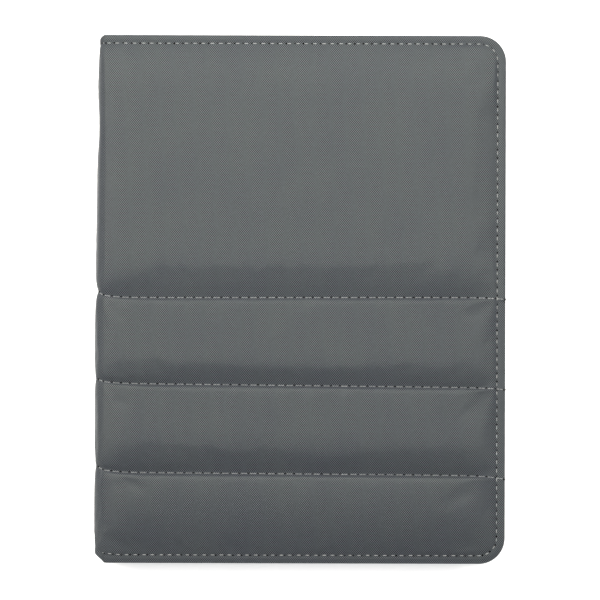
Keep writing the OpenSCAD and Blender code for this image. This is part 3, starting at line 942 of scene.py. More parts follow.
@dataclass
class QuiltPattern:
    """The flat pattern of one padded shell: its seams, its edge and its padded height.

    A point of the pattern is u, the way from the fore-edge across the cover, round the hinge and down the
    spine, and v, the way along the case before the seams drift. Each gather is a pitch, a depth and a reach
    in millimetres.
    """

    sizes: CaseSizes
    seams: tuple[Seam, ...] = (Seam(-86.8 * MM, -0.006, 2.6 * MM, -1.9 * MM, 0.7 * MM, 24 * MM, 1.2),
                               Seam(-42.7 * MM, -0.009, 1.9 * MM, -0.8 * MM, 0.55 * MM, 17 * MM, 0.82),
                               Seam(1.25 * MM, 0.003, 2.7 * MM, -0.9 * MM, 1.5 * MM, 24 * MM, 0.8))
    fore_corner: float = 13 * MM
    head_corner: float = 1.5 * MM
    tail_corner: float = 4.2 * MM
    corner_stretch: float = 1.4
    corner_power: float = 1.45
    corner_run: float = 4.0
    stitch_inset: float = 4.2 * MM
    border_h: float = 1.95 * MM
    spine_head_drop: float = 0.7 * MM
    spine_tail_drop: float = 0.1 * MM
    seam_h: float = 2.45 * MM
    crown_h: float = 5.9 * MM
    corner_h: float = 3.5 * MM
    spine_h: float = 4.5 * MM
    skin_t: float = 0.7 * MM
    cell: float = 1.5 * MM
    low_bend: float = 3.2
    tail_reach: float = 40 * MM
    tail_bend: float = 2.2
    tail_full: float = 1.62
    tail_tilt: float = 0.27
    high_reach: float = 30 * MM
    shoulder: float = 0.98
    brow_reach: float = 0.4 * MM
    head_shoulder: float = 0.55
    edge_reach: float = 7.0 * MM
    spine_roll: float = 16 * MM
    spine_lean: float = 1.3 * MM
    lean_start: float = -25 * MM
    lean_reach: float = 120 * MM
    spine_dent: float = 0.9 * MM
    dent_y: float = 85 * MM
    dent_reach: float = 11 * MM
    spine_least: float = 2.55 * MM
    nip_reach: float = 2.6 * MM
    seam_reach: float = 2.2 * MM
    corner_dip: float = 0.9 * MM
    corner_swell: float = 0.25 * MM
    groove_h: float = 0.45 * MM
    groove_w: float = 0.75 * MM
    hem: float = 4.5 * MM
    hem_run: float = 0.8 * MM
    gathers: tuple[tuple[float, float, float], ...] = ((4.6, 0.045, 3.0), (9.0, 0.09, 6.0), (15.0, 0.1, 9.0),
                                                       (31.0, 0.11, 14.0))
    gather_drift: float = 57 * MM
    seed: int = 11

    def stations(self) -> tuple[np.ndarray, np.ndarray]:
        """Grid lines across and along, closer at the edges, the seams and the hinge.

        Returns:
            The lines across and the lines along.
        """
        s, r = self.sizes, self.fore_corner
        edge = r * (1 - np.sin(np.radians(np.linspace(90, 0, 17))))
        across = np.concatenate([edge, np.arange(r + self.cell, s.width - self.cell / 2, self.cell),
                                 s.width + s.bend * np.linspace(0, 1, 11),
                                 s.width + s.bend + s.drop * np.linspace(0, 1, 9)[1:]])
        near = np.array([0, 0.25, 0.55, 0.9, 1.4, 2.0, 2.8, 3.8, 5.0]) * MM
        fixed = [-s.half + edge, s.half - edge[::-1]]
        fixed += [seam.y + side * near for seam in self.seams for side in (-1, 1)]
        fixed = np.unique(np.round(np.concatenate(fixed), 6))
        gaps = np.arange(-s.half, s.half, self.cell)
        clear = np.abs(gaps[:, None] - fixed[None, :]).min(1) > 0.55 * self.cell
        return across, np.sort(np.concatenate([fixed, gaps[clear]]))

    def plan_x(self, u: np.ndarray) -> np.ndarray:
        """The x at which a point of the pattern lies in plan."""
        return np.maximum(self.sizes.fore_x - u, self.sizes.spine_x)

    def lay_out(self, u: np.ndarray, v: np.ndarray) -> tuple[np.ndarray, np.ndarray, np.ndarray]:
        """Fits the square grid to the rounded corners and the drifting seams.

        Args:
            u: Grid positions across.
            v: Grid positions along.

        Returns:
            The fitted u, the y, and the distance to the sewn edge.
        """
        s = self.sizes
        x = self.plan_x(u)
        lines = [np.full_like(x, -s.half)] + [np.full_like(x, seam.y) for seam in self.seams]
        lines += [np.full_like(x, s.half)]
        shifts = [np.zeros_like(x)] + [seam.shift(x, s) for seam in self.seams] + [np.zeros_like(x)]
        y = v.copy()
        for low, high, at_low, at_high in zip(lines, lines[1:], shifts, shifts[1:]):
            share = np.clip((v - low) / (high - low), 0, 1)
            y += np.where((v > low) & (v <= high), at_low + (at_high - at_low) * share, 0)
        r = self.fore_corner
        over = np.clip(np.abs(v) - (s.half - r), 0, r)
        start = r - np.sqrt(np.maximum(r * r - over * over, 0))
        fitted = np.where(u < 2 * r, start + u * (2 * r - start) / (2 * r), u)
        corner = np.where(v > 0, self.head_corner, self.tail_corner)
        turn = np.clip(1 - self.corner_gap(u, v) / (corner * self.corner_stretch), 0, 1)
        end = s.half - corner * (1 - np.maximum(1 - turn ** self.corner_power, 0) ** (1 / self.corner_power))
        fixed = s.half - self.corner_run * corner
        drawn_in = fixed + (np.abs(v) - fixed) * (end - fixed) / (s.half - fixed)
        y = np.where(np.abs(v) > fixed, np.sign(v) * drawn_in, y)
        qx, qy = np.maximum(r - fitted, 0), np.maximum(np.abs(y) - (s.half - r), 0)
        edge = np.where((qx > 0) & (qy > 0), r - np.hypot(qx, qy), np.minimum(fitted, end - np.abs(y)))
        return fitted, y, np.maximum(edge, 0)

    def to_spine(self, u: np.ndarray) -> np.ndarray:
        """0 on the cover, rising through the hinge to 1 on the spine."""
        return smoothstep((u - (self.sizes.width + 0.35 * self.sizes.bend)) / (0.75 * self.sizes.bend))

    def corner_gap(self, u: np.ndarray, v: np.ndarray) -> np.ndarray:
        """How far in x an edge point lies from the spine's outermost line.

        Args:
            u: Positions across.
            v: Positions along.

        Returns:
            The distances, in metres.
        """
        s = self.sizes
        lining_t = s.backing_z - s.face_z
        high = self.spine_h - np.where(v > 0, self.spine_lean + self.spine_head_drop, self.spine_tail_drop)
        height = blend_values(self.border_h, high, self.to_spine(u))
        turn = np.clip((u - s.width) / s.bend, 0, 1) * (math.pi / 2)
        return np.clip(s.width - u, 0, None) + lining_t + high - (lining_t + height) * np.sin(turn)

    def pads(self, v: np.ndarray) -> np.ndarray:
        """Fullness of the padding, 0 at a seam and 1 where it is fullest.

        Args:
            v: The way along the case.

        Returns:
            The fullness at each v.
        """
        limits = [-self.sizes.half] + [seam.y for seam in self.seams] + [self.sizes.half]
        full = np.ones_like(v)
        for place, (low, high) in enumerate(zip(limits, limits[1:])):
            inside = (v >= low) & (v <= high)
            above, below = v - low, high - v
            crown, reach, bend = self.tail_full, self.tail_reach, self.tail_bend
            if place > 0:
                crown, reach, bend = self.seams[place - 1].full, self.seams[place - 1].reach, self.low_bend
            foot = crown * (1 - (1 - np.clip(above / reach, 0, 1)) ** bend)
            at_head = place == len(limits) - 2
            shoulder = self.head_shoulder if at_head else self.shoulder
            brow = shoulder + (1 - shoulder) * (1 - (1 - np.clip(below / self.high_reach, 0, 1)) ** 2)
            brow = brow if at_head else brow * (1 - np.exp(-below / self.brow_reach))
            full = np.where(inside, foot * brow, full)
        return full

    def seam_nearness(self, v: np.ndarray, reach: float) -> np.ndarray:
        """1 on a seam, falling off over the given reach."""
        apart = np.min([np.abs(v - seam.y) for seam in self.seams], 0)
        return np.exp(-(apart / reach) ** 2)

    def puckers(self, u: np.ndarray, v: np.ndarray, edge: np.ndarray) -> np.ndarray:
        """Small gathers that the thread pulls into the cloth beside the seams and the border, in metres.

        Args:
            u: The way from the fore-edge.
            v: The way along the case.
            edge: Distance from the nearest sewn edge.

        Returns:
            The height of the gathers.
        """
        chance = np.random.default_rng(self.seed)
        total = np.zeros_like(u)
        for pitch, depth, reach in self.gathers:
            phase, drift = chance.uniform(0, math.tau, 2)
            wander = 0.6 * np.sin(v * math.tau / self.gather_drift + drift)
            ripple = np.sin(u * math.tau / (pitch * MM) + phase + wander)
            swell = 0.5 + 0.5 * np.sin(u * math.tau / (pitch * 4.7 * MM) + drift)
            total += depth * MM * ripple * swell * self.seam_nearness(v, reach * MM)
            along = np.sin(v * math.tau / (pitch * MM) + drift + wander)
            near_border = np.exp(-((edge - 6 * MM) / (reach * 0.6 * MM)) ** 2)
            total += 0.8 * depth * MM * along * swell * near_border
        return total

    def spine_height(self, v: np.ndarray, y: np.ndarray) -> np.ndarray:
        """Height of the spine's skin over its lining.

        Args:
            v: Positions along, before the seams drift.
            y: Positions along, on the case.

        Returns:
            The heights, in metres.
        """
        lean = self.spine_lean * smoothstep((y - self.lean_start) / self.lean_reach)
        dent = self.spine_dent * np.exp(-((y - self.dent_y) / self.dent_reach) ** 2)
        nips = sum(seam.nip * np.exp(-np.abs(v - seam.y) / self.nip_reach) for seam in self.seams)
        return np.maximum(self.spine_h - lean - dent - nips, self.spine_least)

    def heights(self, u: np.ndarray, v: np.ndarray, y: np.ndarray, edge: np.ndarray
                ) -> tuple[np.ndarray, np.ndarray]:
        """Heights of the skin's outer and inner faces over the lining.

        Args:
            u: Fitted positions across.
            v: Positions along, before the seams drift.
            y: Positions along, on the case.
            edge: Distances to the sewn edge.

        Returns:
            The outer and the inner heights, in metres.
        """
        s = self.sizes
        full = self.pads(v)
        at_seam = self.seam_nearness(v, self.seam_reach)
        cover = self.seam_h + (self.crown_h - self.seam_h) * full
        corner = self.corner_h - self.corner_dip * at_seam + self.corner_swell * full
        spine = self.spine_height(v, y)
        to_corner = np.clip((u - (s.width - self.spine_roll)) / (self.spine_roll + 0.35 * s.bend), 0, 1) ** 2
        to_spine = self.to_spine(u)
        padded = blend_values(blend_values(cover, corner, to_corner), spine, to_spine)
        drop = np.where(v > 0, self.spine_head_drop, self.spine_tail_drop)
        tilt = np.where(v < 0, self.tail_tilt, 0.0) * np.clip(self.stitch_inset - edge, 0, None)
        border = blend_values(self.border_h - tilt, spine - drop, to_spine)
        inside = np.clip(edge - self.stitch_inset - 0.1 * MM, 0, None)
        rise = 1 - np.exp(-inside / (self.edge_reach * (1 + 0.5 * to_spine)))
        outer = border + (padded - border) * rise + self.puckers(u, v, edge) * rise
        groove = self.groove_h * np.exp(-((edge - self.stitch_inset) / self.groove_w) ** 2)
        outer = outer - groove * (1 - 0.7 * to_spine)
        radius = self.border_h / 2
        rim = np.sqrt(np.maximum(1 - (1 - np.clip(edge / radius, 0, 1)) ** 2, 0))
        inner = radius * (1 - rim)
        outer = np.where(edge < radius, radius + (outer - radius) * rim, outer)
        lift = smoothstep((edge - self.hem) / self.hem_run)
        return outer, blend_values(inner, outer - self.skin_t, lift)

    def fold(self, u: np.ndarray, y: np.ndarray, height: np.ndarray) -> np.ndarray:
        """Folds points of the pattern over the hinge and down the spine.

        Args:
            u: Positions across.
            y: Positions along.
            height: Heights over the lining.

        Returns:
            The points in the case's frame.
        """
        s = self.sizes
        lining_t = s.backing_z - s.face_z
        turn = np.clip((u - s.width) / s.bend, 0, 1) * (math.pi / 2)
        down = np.clip(u - s.width - s.bend, 0, None)
        x = np.where(u <= s.width, s.fore_x - u, s.hinge_x - lining_t * np.sin(turn)) - np.sin(turn) * height
        z = s.face_z + lining_t * np.cos(turn) - down + np.cos(turn) * height
        return np.stack([x, y, z], -1)


# ---------------------------------------------------------------- outer shells

class Side(Enum):
    """The two covers."""

    FRONT = "front"
    BACK = "back"


@dataclass
class ClothPress:
    """Cloth simulation that blows the padding up behind sewn-down fabric."""

    frames: int = 20
    pressure: float = 4.0
    ease: float = 0.002
    cap: float = 0.3 * MM
    stiffness: float = 20.0
    bending: float = 0.2
    quality: int = 4

    def relax(self, points: np.ndarray, sewn: np.ndarray) -> np.ndarray:
        """Lets a grid of fabric settle.

        Args:
            points: The fabric's points, rows by columns by 3.
            sewn: True where a point is held.

        Returns:
            The settled points, none moved further than the cap.
        """
        rows, columns, _ = points.shape
        mesh = bpy.data.meshes.new("pressed_cloth")
        mesh.from_pydata(points.reshape(-1, 3).tolist(), [], grid_faces(rows, columns).tolist())
        cloth = bpy.data.objects.new("pressed_cloth", mesh)
        bpy.context.scene.collection.objects.link(cloth)
        group = cloth.vertex_groups.new(name="sewn")
        group.add(np.flatnonzero(sewn.ravel()).tolist(), 1.0, "REPLACE")
        press = cloth.modifiers.new("press", "CLOTH")
        press.point_cache.frame_start = 1
        press.point_cache.frame_end = self.frames
        settings = press.settings
        settings.vertex_group_mass = "sewn"
        settings.use_pressure = True
        settings.uniform_pressure_force = self.pressure
        settings.effector_weights.gravity = 0.0
        settings.tension_stiffness = self.stiffness
        settings.compression_stiffness = self.stiffness
        settings.shear_stiffness = self.stiffness / 2
        settings.bending_stiffness = self.bending
        settings.shrink_min = -self.ease
        settings.quality = self.quality
        press.collision_settings.use_collision = False
        for number in range(1, self.frames + 1):
            bpy.context.scene.frame_set(number)
        settled = cloth.evaluated_get(bpy.context.evaluated_depsgraph_get()).data
        moved = np.empty(rows * columns * 3, np.float32)
        settled.vertices.foreach_get("co", moved)
        bpy.context.scene.frame_set(1)
        bpy.data.objects.remove(cloth)
        bpy.data.meshes.remove(mesh)
        step = moved.reshape(points.shape).astype(float) - points
        length = np.linalg.norm(step, axis=-1, keepdims=True)
        LOG.info("cloth moved %.3f mm on average, %.3f mm at most", length.mean() / MM, length.max() / MM)
        return points + step * np.minimum(1, self.cap / np.maximum(length, 1e-9))


@dataclass
class OuterShells:
    """The quilted outer fabric of both covers and the spine, and its foam."""

    pattern: QuiltPattern
    press: ClothPress = field(default_factory=ClothPress)
    rest_soft: float = 0.35 * MM
    foam_gap: float = 0.06 * MM
    foam_least: float = 0.12 * MM
    probe_column: int = 40
    spine_rows: int = 180
    spine_columns: int = 9
    spine_crush: float = 0.3 * MM
    made: dict[Side, bpy.types.Object] = field(default_factory=dict)

    def __post_init__(self) -> None:
        """Works out the two faces of the front shell."""
        across, along = self.pattern.stations()
        u, v = np.meshgrid(across, along[::-1])
        self.u, self.y, edge = self.pattern.lay_out(u, v)
        outer, inner = self.pattern.heights(self.u, v, self.y, edge)
        self.outer = self.pattern.fold(self.u, self.y, outer)
        self.inner = self.pattern.fold(self.u, self.y, inner)
        seam_line = np.min([np.abs(v - seam.y) for seam in self.pattern.seams], 0) < 0.1 * MM
        sewn = (edge < self.pattern.stitch_inset + 0.5 * MM) | seam_line | (self.u > u.max() - 0.1 * MM)
        pressed = self.press.relax(self.outer, sewn)
        self.inner = self.inner + (pressed - self.outer) * (edge > 5 * MM)[..., None]
        self.outer = pressed

    def faces_of(self, side: Side) -> tuple[np.ndarray, np.ndarray]:
        """The outer and inner points of one shell; the back one lies flat where it rests.

        Args:
            side: Which shell.

        Returns:
            The outer and the inner points.
        """
        outer, inner = self.outer.copy(), self.inner.copy()
        if side is Side.BACK:
            for points in (outer, inner):
                points[..., 2] = self.pattern.sizes.top_z - points[..., 2]
            z = outer[..., 2].copy()
            outer[..., 2] = 0.5 * (z + np.sqrt(z * z + self.rest_soft ** 2))
            inner[..., 2] += outer[..., 2] - z
        return outer, inner

    def bend_at_hinge(self, piece: bpy.types.Object, side: Side) -> None:
        """Bakes a piece's transform into its mesh.

        Args:
            piece: The piece whose transform is baked.
            side: Not used.
        """
        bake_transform(piece)

    def build(self, side: Side) -> None:
        """Makes one shell and hides the imported pieces it takes the place of.

        Args:
            side: Which shell.
        """
        outer, inner = self.faces_of(side)
        points, faces = thick_sheet(outer, inner)
        shell = new_piece(f"{side.value}_padded_shell", points, faces, CANVAS)
        cloth = shell.data.attributes.new(PATTERN, "FLOAT_VECTOR", "POINT")
        flat = np.stack([self.u, self.y, np.zeros_like(self.u)], -1).reshape(-1, 3)
        cloth.data.foreach_set("vector", np.concatenate([flat, flat]).ravel().astype(np.float32))
        self.bend_at_hinge(shell, side)
        nodes = [f"{side.value}_outer_skin", f"{side.value}_hinge_gusset"]
        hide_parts(*nodes, *(["spine_outer_skin"] if side is Side.FRONT else []))
        self.made[side] = shell
        LOG.info("%s: %d faces", shell.name, len(shell.data.polygons))

    def surface(self, side: Side) -> Surface:
        """Finds points on a finished shell.

        Args:
            side: Which shell.

        Returns:
            A function that takes a position across and along, and gives the point and its outward normal.
        """
        shell = self.made[side]
        tree = BVHTree.FromPolygons([v.co for v in shell.data.vertices],
                                    [tuple(p.vertices) for p in shell.data.polygons])
        top = self.pattern.sizes.top_z

        def find(u: float, y: float) -> tuple[Vector, Vector]:
            """Casts a ray in from outside the cloth.

            Args:
                u: The way from the fore-edge.
                y: The way along the case.

            Returns:
                The spot and the surface's normal there.
            """
            start, end = (self.pattern.fold(np.array(u), np.array(y), np.array(h)) for h in (15 * MM, 0.0))
            if side is Side.BACK:
                start[2], end[2] = top - start[2], top - end[2]
            way = Vector(end - start).normalized()
            hit, _, _, _ = tree.ray_cast(Vector(start), way)
            return (hit if hit is not None else Vector(end)), -way

        return find

    def build_foam(self, side: Side) -> None:
        """Makes the foam between a shell and its board.

        Args:
            side: Which shell.
        """
        board_lo, board_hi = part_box(f"{side.value}_board")
        lie = board_hi.z if side is Side.FRONT else board_lo.z
        _, inner = self.faces_of(side)
        x, y = inner[len(inner) // 2, :, 0], inner[:, self.probe_column, 1]
        across = np.flatnonzero((x < board_hi.x - MM) & (x > board_lo.x + MM))[::2]
        along = np.flatnonzero((y < board_hi.y - MM) & (y > board_lo.y + MM))[::2]
        face = inner[np.ix_(along, across)].copy()
        under = face.copy()
        under[..., 2] = lie
        away = 1.0 if side is Side.FRONT else -1.0
        depth = np.maximum((face[..., 2] - lie) * away - self.foam_gap, self.foam_least)
        face[..., 2] = lie + away * depth
        points, faces = thick_sheet(face, under)
        foam = new_piece(f"{side.value}_foam_sheet", points, faces, FOAM)
        place_piece(foam, f"{side.value}_cover", "foam", f"{side.value}_foam_pad")

    def build_spine_foam(self) -> None:
        """Makes the foam strip behind the spine's skin."""
        lo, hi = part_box("spine_foam_pad")
        p, s = self.pattern, self.pattern.sizes
        end = s.half - p.stitch_inset - 2 * MM
        rows = np.linspace(end, -end, self.spine_rows)
        shifts = [float(seam.shift(np.array(s.spine_x), s)) for seam in p.seams]
        spots = [rows - shift for shift in shifts]
        height = np.min([p.spine_height(spot, rows) for spot in spots], 0)
        face_x = s.hinge_x - (s.backing_z - s.face_z) - height + p.skin_t + self.foam_gap * 4
        face_x = np.minimum(face_x, hi.x - 0.15 * MM)
        levels = np.linspace(hi.z, lo.z, self.spine_columns)
        off = np.abs(levels - levels.mean()) / (levels[0] - levels.mean())
        crush = self.spine_crush * off ** 2
        shape = self.spine_rows, self.spine_columns
        face = np.stack([np.minimum(face_x[:, None] + crush, hi.x - self.foam_least),
                         np.broadcast_to(rows[:, None], shape), np.broadcast_to(levels, shape)], -1)
        under = face.copy()
        under[..., 0] = hi.x
        points, faces = thick_sheet(face, under)
        foam = new_piece("spine_foam_strip", points, faces, FOAM)
        place_piece(foam, "spine", "foam", "spine_foam_pad")


@dataclass
class Sewing:
    """Lockstitches that lie on a surface: thread dashes, with a near-black glossless cup between them as
    painted shadow where the needle went through.
    """

    name: str
    pitch: float
    start: float
    end: float
    lift: float = 0.2 * MM
    radius: float = 0.2 * MM
    hole_shade_r: float = 0.46 * MM
    dip: float = 0.0
    rings: int = 7
    around: int = 6
    slack: float = 0.04
    sink: float = 0.12 * MM
    cup_sides: int = 8
    cup: tuple[tuple[float, float], ...] = ((1.0, -0.25), (1.0, 0.05), (0.6, 0.09), (0.3, 0.02))
    threads: list[Mesh] = field(default_factory=list)
    hole_shades: list[Mesh] = field(default_factory=list)

    def sew(self, path: np.ndarray, find: Surface) -> None:
        """Sews along a path.

        Args:
            path: Points of the path, two columns, in the surface's own coordinates.
            find: Gives the point and the normal at a place on the path.
        """
        gaps = np.linalg.norm(np.diff(path, axis=0), axis=1)
        way = np.concatenate([[0], np.cumsum(gaps)])
        count = max(int(round(way[-1] / self.pitch)), 1)
        pitch = way[-1] / count
        chance = np.random.default_rng(count)

        def at(length: float) -> tuple[np.ndarray, np.ndarray]:
            """The surface at a length along the path."""
            spot, normal = find(*(float(np.interp(length, way, path[:, i])) for i in (0, 1)))
            return np.array(spot), np.array(normal)

        for number in range(count):
            first = number * pitch
            here, normal = at(first)
            ahead, _ = at(min(first + 0.3 * pitch, way[-1]))
            # Painted shadow where the needle went through: a near-black cup on the cloth.
            self.hole_shades.append(self.hole_shade(here, normal, ahead - here))
            slack = chance.uniform(-self.slack, self.slack, 2)
            begin, run = self.start + slack[0], self.end - self.start + slack[1]
            spots = [at(min(first + (begin + run * t) * pitch, way[-1]))
                     for t in np.linspace(0, 1, self.rings)]
            self.threads.append(self.strand(spots, chance.uniform(0.85, 1.15)))

    def hole_shade(self, here: np.ndarray, normal: np.ndarray, along: np.ndarray) -> Mesh:
        """A small near-black cup where the needle went through, standing in for its shadow: painted shade.

        Args:
            here: Where the needle went in.
            normal: The way out of the cloth.
            along: The way the seam runs.

        Returns:
            The cup's mesh.
        """
        along = along / max(np.linalg.norm(along), 1e-9)
        side = np.cross(normal, along)
        turn = np.linspace(0, math.tau, self.cup_sides + 1)[:-1, None]
        ring = along * np.cos(turn) * 1.15 + side * np.sin(turn)
        points = np.concatenate([here + ring * self.hole_shade_r * size + normal * (height * MM)
                                 for size, height in self.cup])
        return points, tube_faces(len(self.cup), self.cup_sides)

    def strand(self, spots: list[tuple[np.ndarray, np.ndarray]], fullness: float) -> Mesh:
        """A tube of thread through the given surface spots, sunk at both ends.

        Args:
            spots: Points on the surface and their normals.
            fullness: How full this stitch is, about 1.

        Returns:
            The strand's mesh.
        """
        count = len(spots)
        share = np.linspace(0, 1, count)
        arch = np.sin(math.pi * share)
        sunk = self.dip * np.exp(-((share - 0.5) / 0.17) ** 2)
        rise = self.lift * fullness * arch ** 0.6 * (1 - sunk) - self.sink * (1 - arch)
        width = self.radius * fullness * (0.45 + 0.55 * arch ** 0.5) * (1 - 0.35 * sunk)
        base = np.array([spot for spot, _ in spots])
        normals = np.array([normal for _, normal in spots])
        middle = base + normals * rise[:, None]
        along = np.gradient(middle, axis=0)
        along /= np.linalg.norm(along, axis=1, keepdims=True) + 1e-12
        side = np.cross(normals, along)
        up = np.cross(along, side)
        turn = np.linspace(0, math.tau, self.around + 1)[:-1]
        wide, tall = np.cos(turn)[:, None], 0.8 * np.sin(turn)[:, None]
        rings = [middle[i] + width[i] * (wide * side[i] + tall * up[i]) for i in range(count)]
        return np.concatenate(rings), tube_faces(count, self.around)

    def pieces(self) -> list[bpy.types.Object]:
        """Makes the thread and the painted needle shadows as two pieces."""
        return [new_piece(f"{self.name}_thread", *join_meshes(self.threads), THREAD),
                new_piece(f"{self.name}_needle_hole_shades", *join_meshes(self.hole_shades), HOLE_SHADE)]


@dataclass
class ShellStitching:
    """All the sewing of one padded shell."""

    shells: OuterShells
    border_pitch: float = 4.3 * MM
    seam_pitch: float = 4.6 * MM
    seam_offset: float = 0.4 * MM
    tail_rise: float = 1.2 * MM
    tail_length: float = 1.6 * MM

    def border_path(self) -> np.ndarray:
        """The line of the border stitch, from the spine round three sides and back.

        Returns:
            The points of the line, as u and v.
        """
        p, s = self.shells.pattern, self.shells.pattern.sizes
        inset, radius = p.stitch_inset, p.fore_corner - p.stitch_inset
        turn = np.radians(np.linspace(0, 90, 13))
        start = s.width + 0.55 * s.bend
        reach = s.half - inset
        head = np.array([[start, reach], [inset + radius, reach]])
        bend = np.stack([inset + radius - radius * np.sin(turn), reach - radius + radius * np.cos(turn)], -1)
        down = bend[::-1] * [1, -1]
        tail = np.array([[s.width - 8 * MM, -reach], [start, -reach + self.tail_rise]])
        return np.concatenate([head, bend[1:], down, tail])

    def seam_path(self, seam: Seam) -> np.ndarray:
        """The line of one quilting seam, from the fore-edge to the middle of the spine.

        Args:
            seam: The seam to follow.

        Returns:
            The points of the line, as u and v.
        """
        p, s = self.shells.pattern, self.shells.pattern.sizes
        u = np.linspace(0.4 * MM, s.width + s.bend + s.drop, 160)
        return np.column_stack([u, seam.y + seam.shift(p.plan_x(u), s) - self.seam_offset])

    def loose_end(self, seam: Seam, side: Side) -> Mesh:
        """The end of a seam's thread, which sticks out past the fore-edge.

        Args:
            seam: The seam that ends.
            side: Which shell it is sewn in.

        Returns:
            The end's mesh.
        """
        p, s = self.shells.pattern, self.shells.pattern.sizes
        z = s.backing_z + p.border_h * 0.6
        z = z if side is Side.FRONT else s.top_z - z
        y = seam.y + float(seam.shift(np.array(s.fore_x), s))
        share = np.linspace(0, 1, 7)[:, None]
        root = 0.5 * MM
        start, curl = np.array([s.fore_x - root, y, z]), np.array([0, 0, -root])
        step = np.array([1, -0.25, 0]) * (self.tail_length + root)
        spots = [(start + step * t + curl * t * t, np.array([0.0, 0.0, 1.0])) for t in share]
        return Sewing("end", self.seam_pitch, 0, 1).strand(spots, 0.6)

    def build(self, side: Side) -> None:
        """Sews one shell.

        Args:
            side: Which shell.
        """
        find = self.shells.surface(side)
        border = Sewing(f"{side.value}_border", self.border_pitch, start=0.14, end=0.6)
        border.sew(self.border_path(), find)
        seams = Sewing(f"{side.value}_seams", self.seam_pitch, start=0.14, end=0.88, lift=0.22 * MM,
                       hole_shade_r=0.6 * MM, dip=1.4, rings=11)
        for seam in self.shells.pattern.seams:
            seams.sew(self.seam_path(seam), find)
            seams.threads.append(self.loose_end(seam, side))
        for piece in border.pieces() + seams.pieces():
            self.shells.bend_at_hinge(piece, side)
            LOG.info("%s: %d faces", piece.name, len(piece.data.polygons))


# ---------------------------------------------------------------- inside panels

@dataclass
class Linings:
    """The lining cloth of both covers and the spine, with the border stitch's inner side."""

    sizes: CaseSizes
    pattern: QuiltPattern
    edge_r: float = 0.22 * MM
    lift: float = 0.1 * MM

    def panel(self, name: str, node: str, body: str, r_out: float) -> None:
        """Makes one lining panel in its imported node's place.

        Args:
            name: The new piece's name.
            node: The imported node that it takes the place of.
            body: The body it belongs to.
            r_out: Radius of its outer corners.
        """
        lo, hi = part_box(node)
        rings = rounded_rings(lo.z, hi.z, self.edge_r, 4, (2 * MM, 8 * MM, 20 * MM, 40 * MM))
        plate = RingPlate((lo.x, hi.x, lo.y, hi.y), rings, 0.05 * MM, r_out, 8, 40)
        piece = new_piece(name, *plate.mesh(), LINING)
        place_piece(piece, body, "lining_cloth", node)

    def spine_panel(self) -> None:
        """Makes the spine's lining, which stands upright between the covers."""
        lo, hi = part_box("spine_lining")
        rings = rounded_rings(lo.x, hi.x, self.edge_r, 4, (2 * MM, 6 * MM))
        plate = RingPlate((lo.z, hi.z, lo.y, hi.y), rings, 0.05 * MM, 0.05 * MM, 4, 40)
        points, faces = plate.mesh()
        piece = new_piece("spine_lining_cloth", points[:, [2, 1, 0]], faces, LINING)
        place_piece(piece, "spine", "lining_cloth", "spine_lining")

    def inner_stitch(self, side: Side, path: np.ndarray) -> None:
        """Sews the inner side of the border stitch.

        Args:
            side: Which cover.
            path: The line of the border stitch.
        """
        s = self.sizes
        z, out = (s.face_z, -1.0) if side is Side.FRONT else (s.cover_t, 1.0)

        def find(u: float, y: float) -> tuple[Vector, Vector]:
            """A spot on the flat lining."""
            return Vector((max(s.fore_x - u, s.hinge_x + MM), y, z)), Vector((0, 0, out))

        sewing = Sewing(f"{side.value}_lining_border", ShellStitching.border_pitch, start=0.12, end=0.8,
                        lift=self.lift, hole_shade_r=0.3 * MM)
        path = path[path[:, 0] <= s.width + 2 * MM]
        sewing.sew(path, find)
        for piece in sewing.pieces():
            place_piece(piece, f"{side.value}_cover", "lining_cloth")

    def build(self, path: np.ndarray) -> None:
        """Makes the three linings and their sewing.

        Args:
            path: The line of the border stitch.
        """
        radius = self.pattern.fore_corner
        self.panel("front_lining_cloth", "front_lining", "front_cover", radius)
        self.panel("back_lining_cloth", "back_lining", "back_cover", radius)
        self.spine_panel()
        ends = [[self.sizes.width - 2 * MM, path[0][1]]], [[self.sizes.width - 2 * MM, path[-1][1]]]
        path = np.concatenate([ends[0], path[1:-1], ends[1]])
        for side in Side:
            self.inner_stitch(side, path)


def flat_patch(name: str, node: str, body: str, slot: str, finish: Finish, radius: float, proud: float,
               below: bool = False) -> None:
    """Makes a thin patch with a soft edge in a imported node's place.

    Args:
        name: The piece's name.
        node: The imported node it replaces.
        body: The body it rides on.
        slot: Its material slot.
        finish: Its finish.
        radius: Its corner radius.
        proud: How far its middle stands out.
        below: Whether it faces down.
    """
    lo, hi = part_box(node)
    edge = (hi.z - lo.z) * 0.4
    rings = rounded_rings(lo.z, hi.z, edge, 4, (0.8 * MM, 2 * MM))
    middle, rise = ((0, 1), -proud) if below else ((-1, -2), proud)
    for ring in middle:
        rings[ring] = (rings[ring][0], rings[ring][1] + rise)
    plate = RingPlate((lo.x, hi.x, lo.y, hi.y), rings, radius, radius, 5, 20)
    piece = new_piece(name, *plate.mesh(), finish)
    place_piece(piece, body, slot, node)


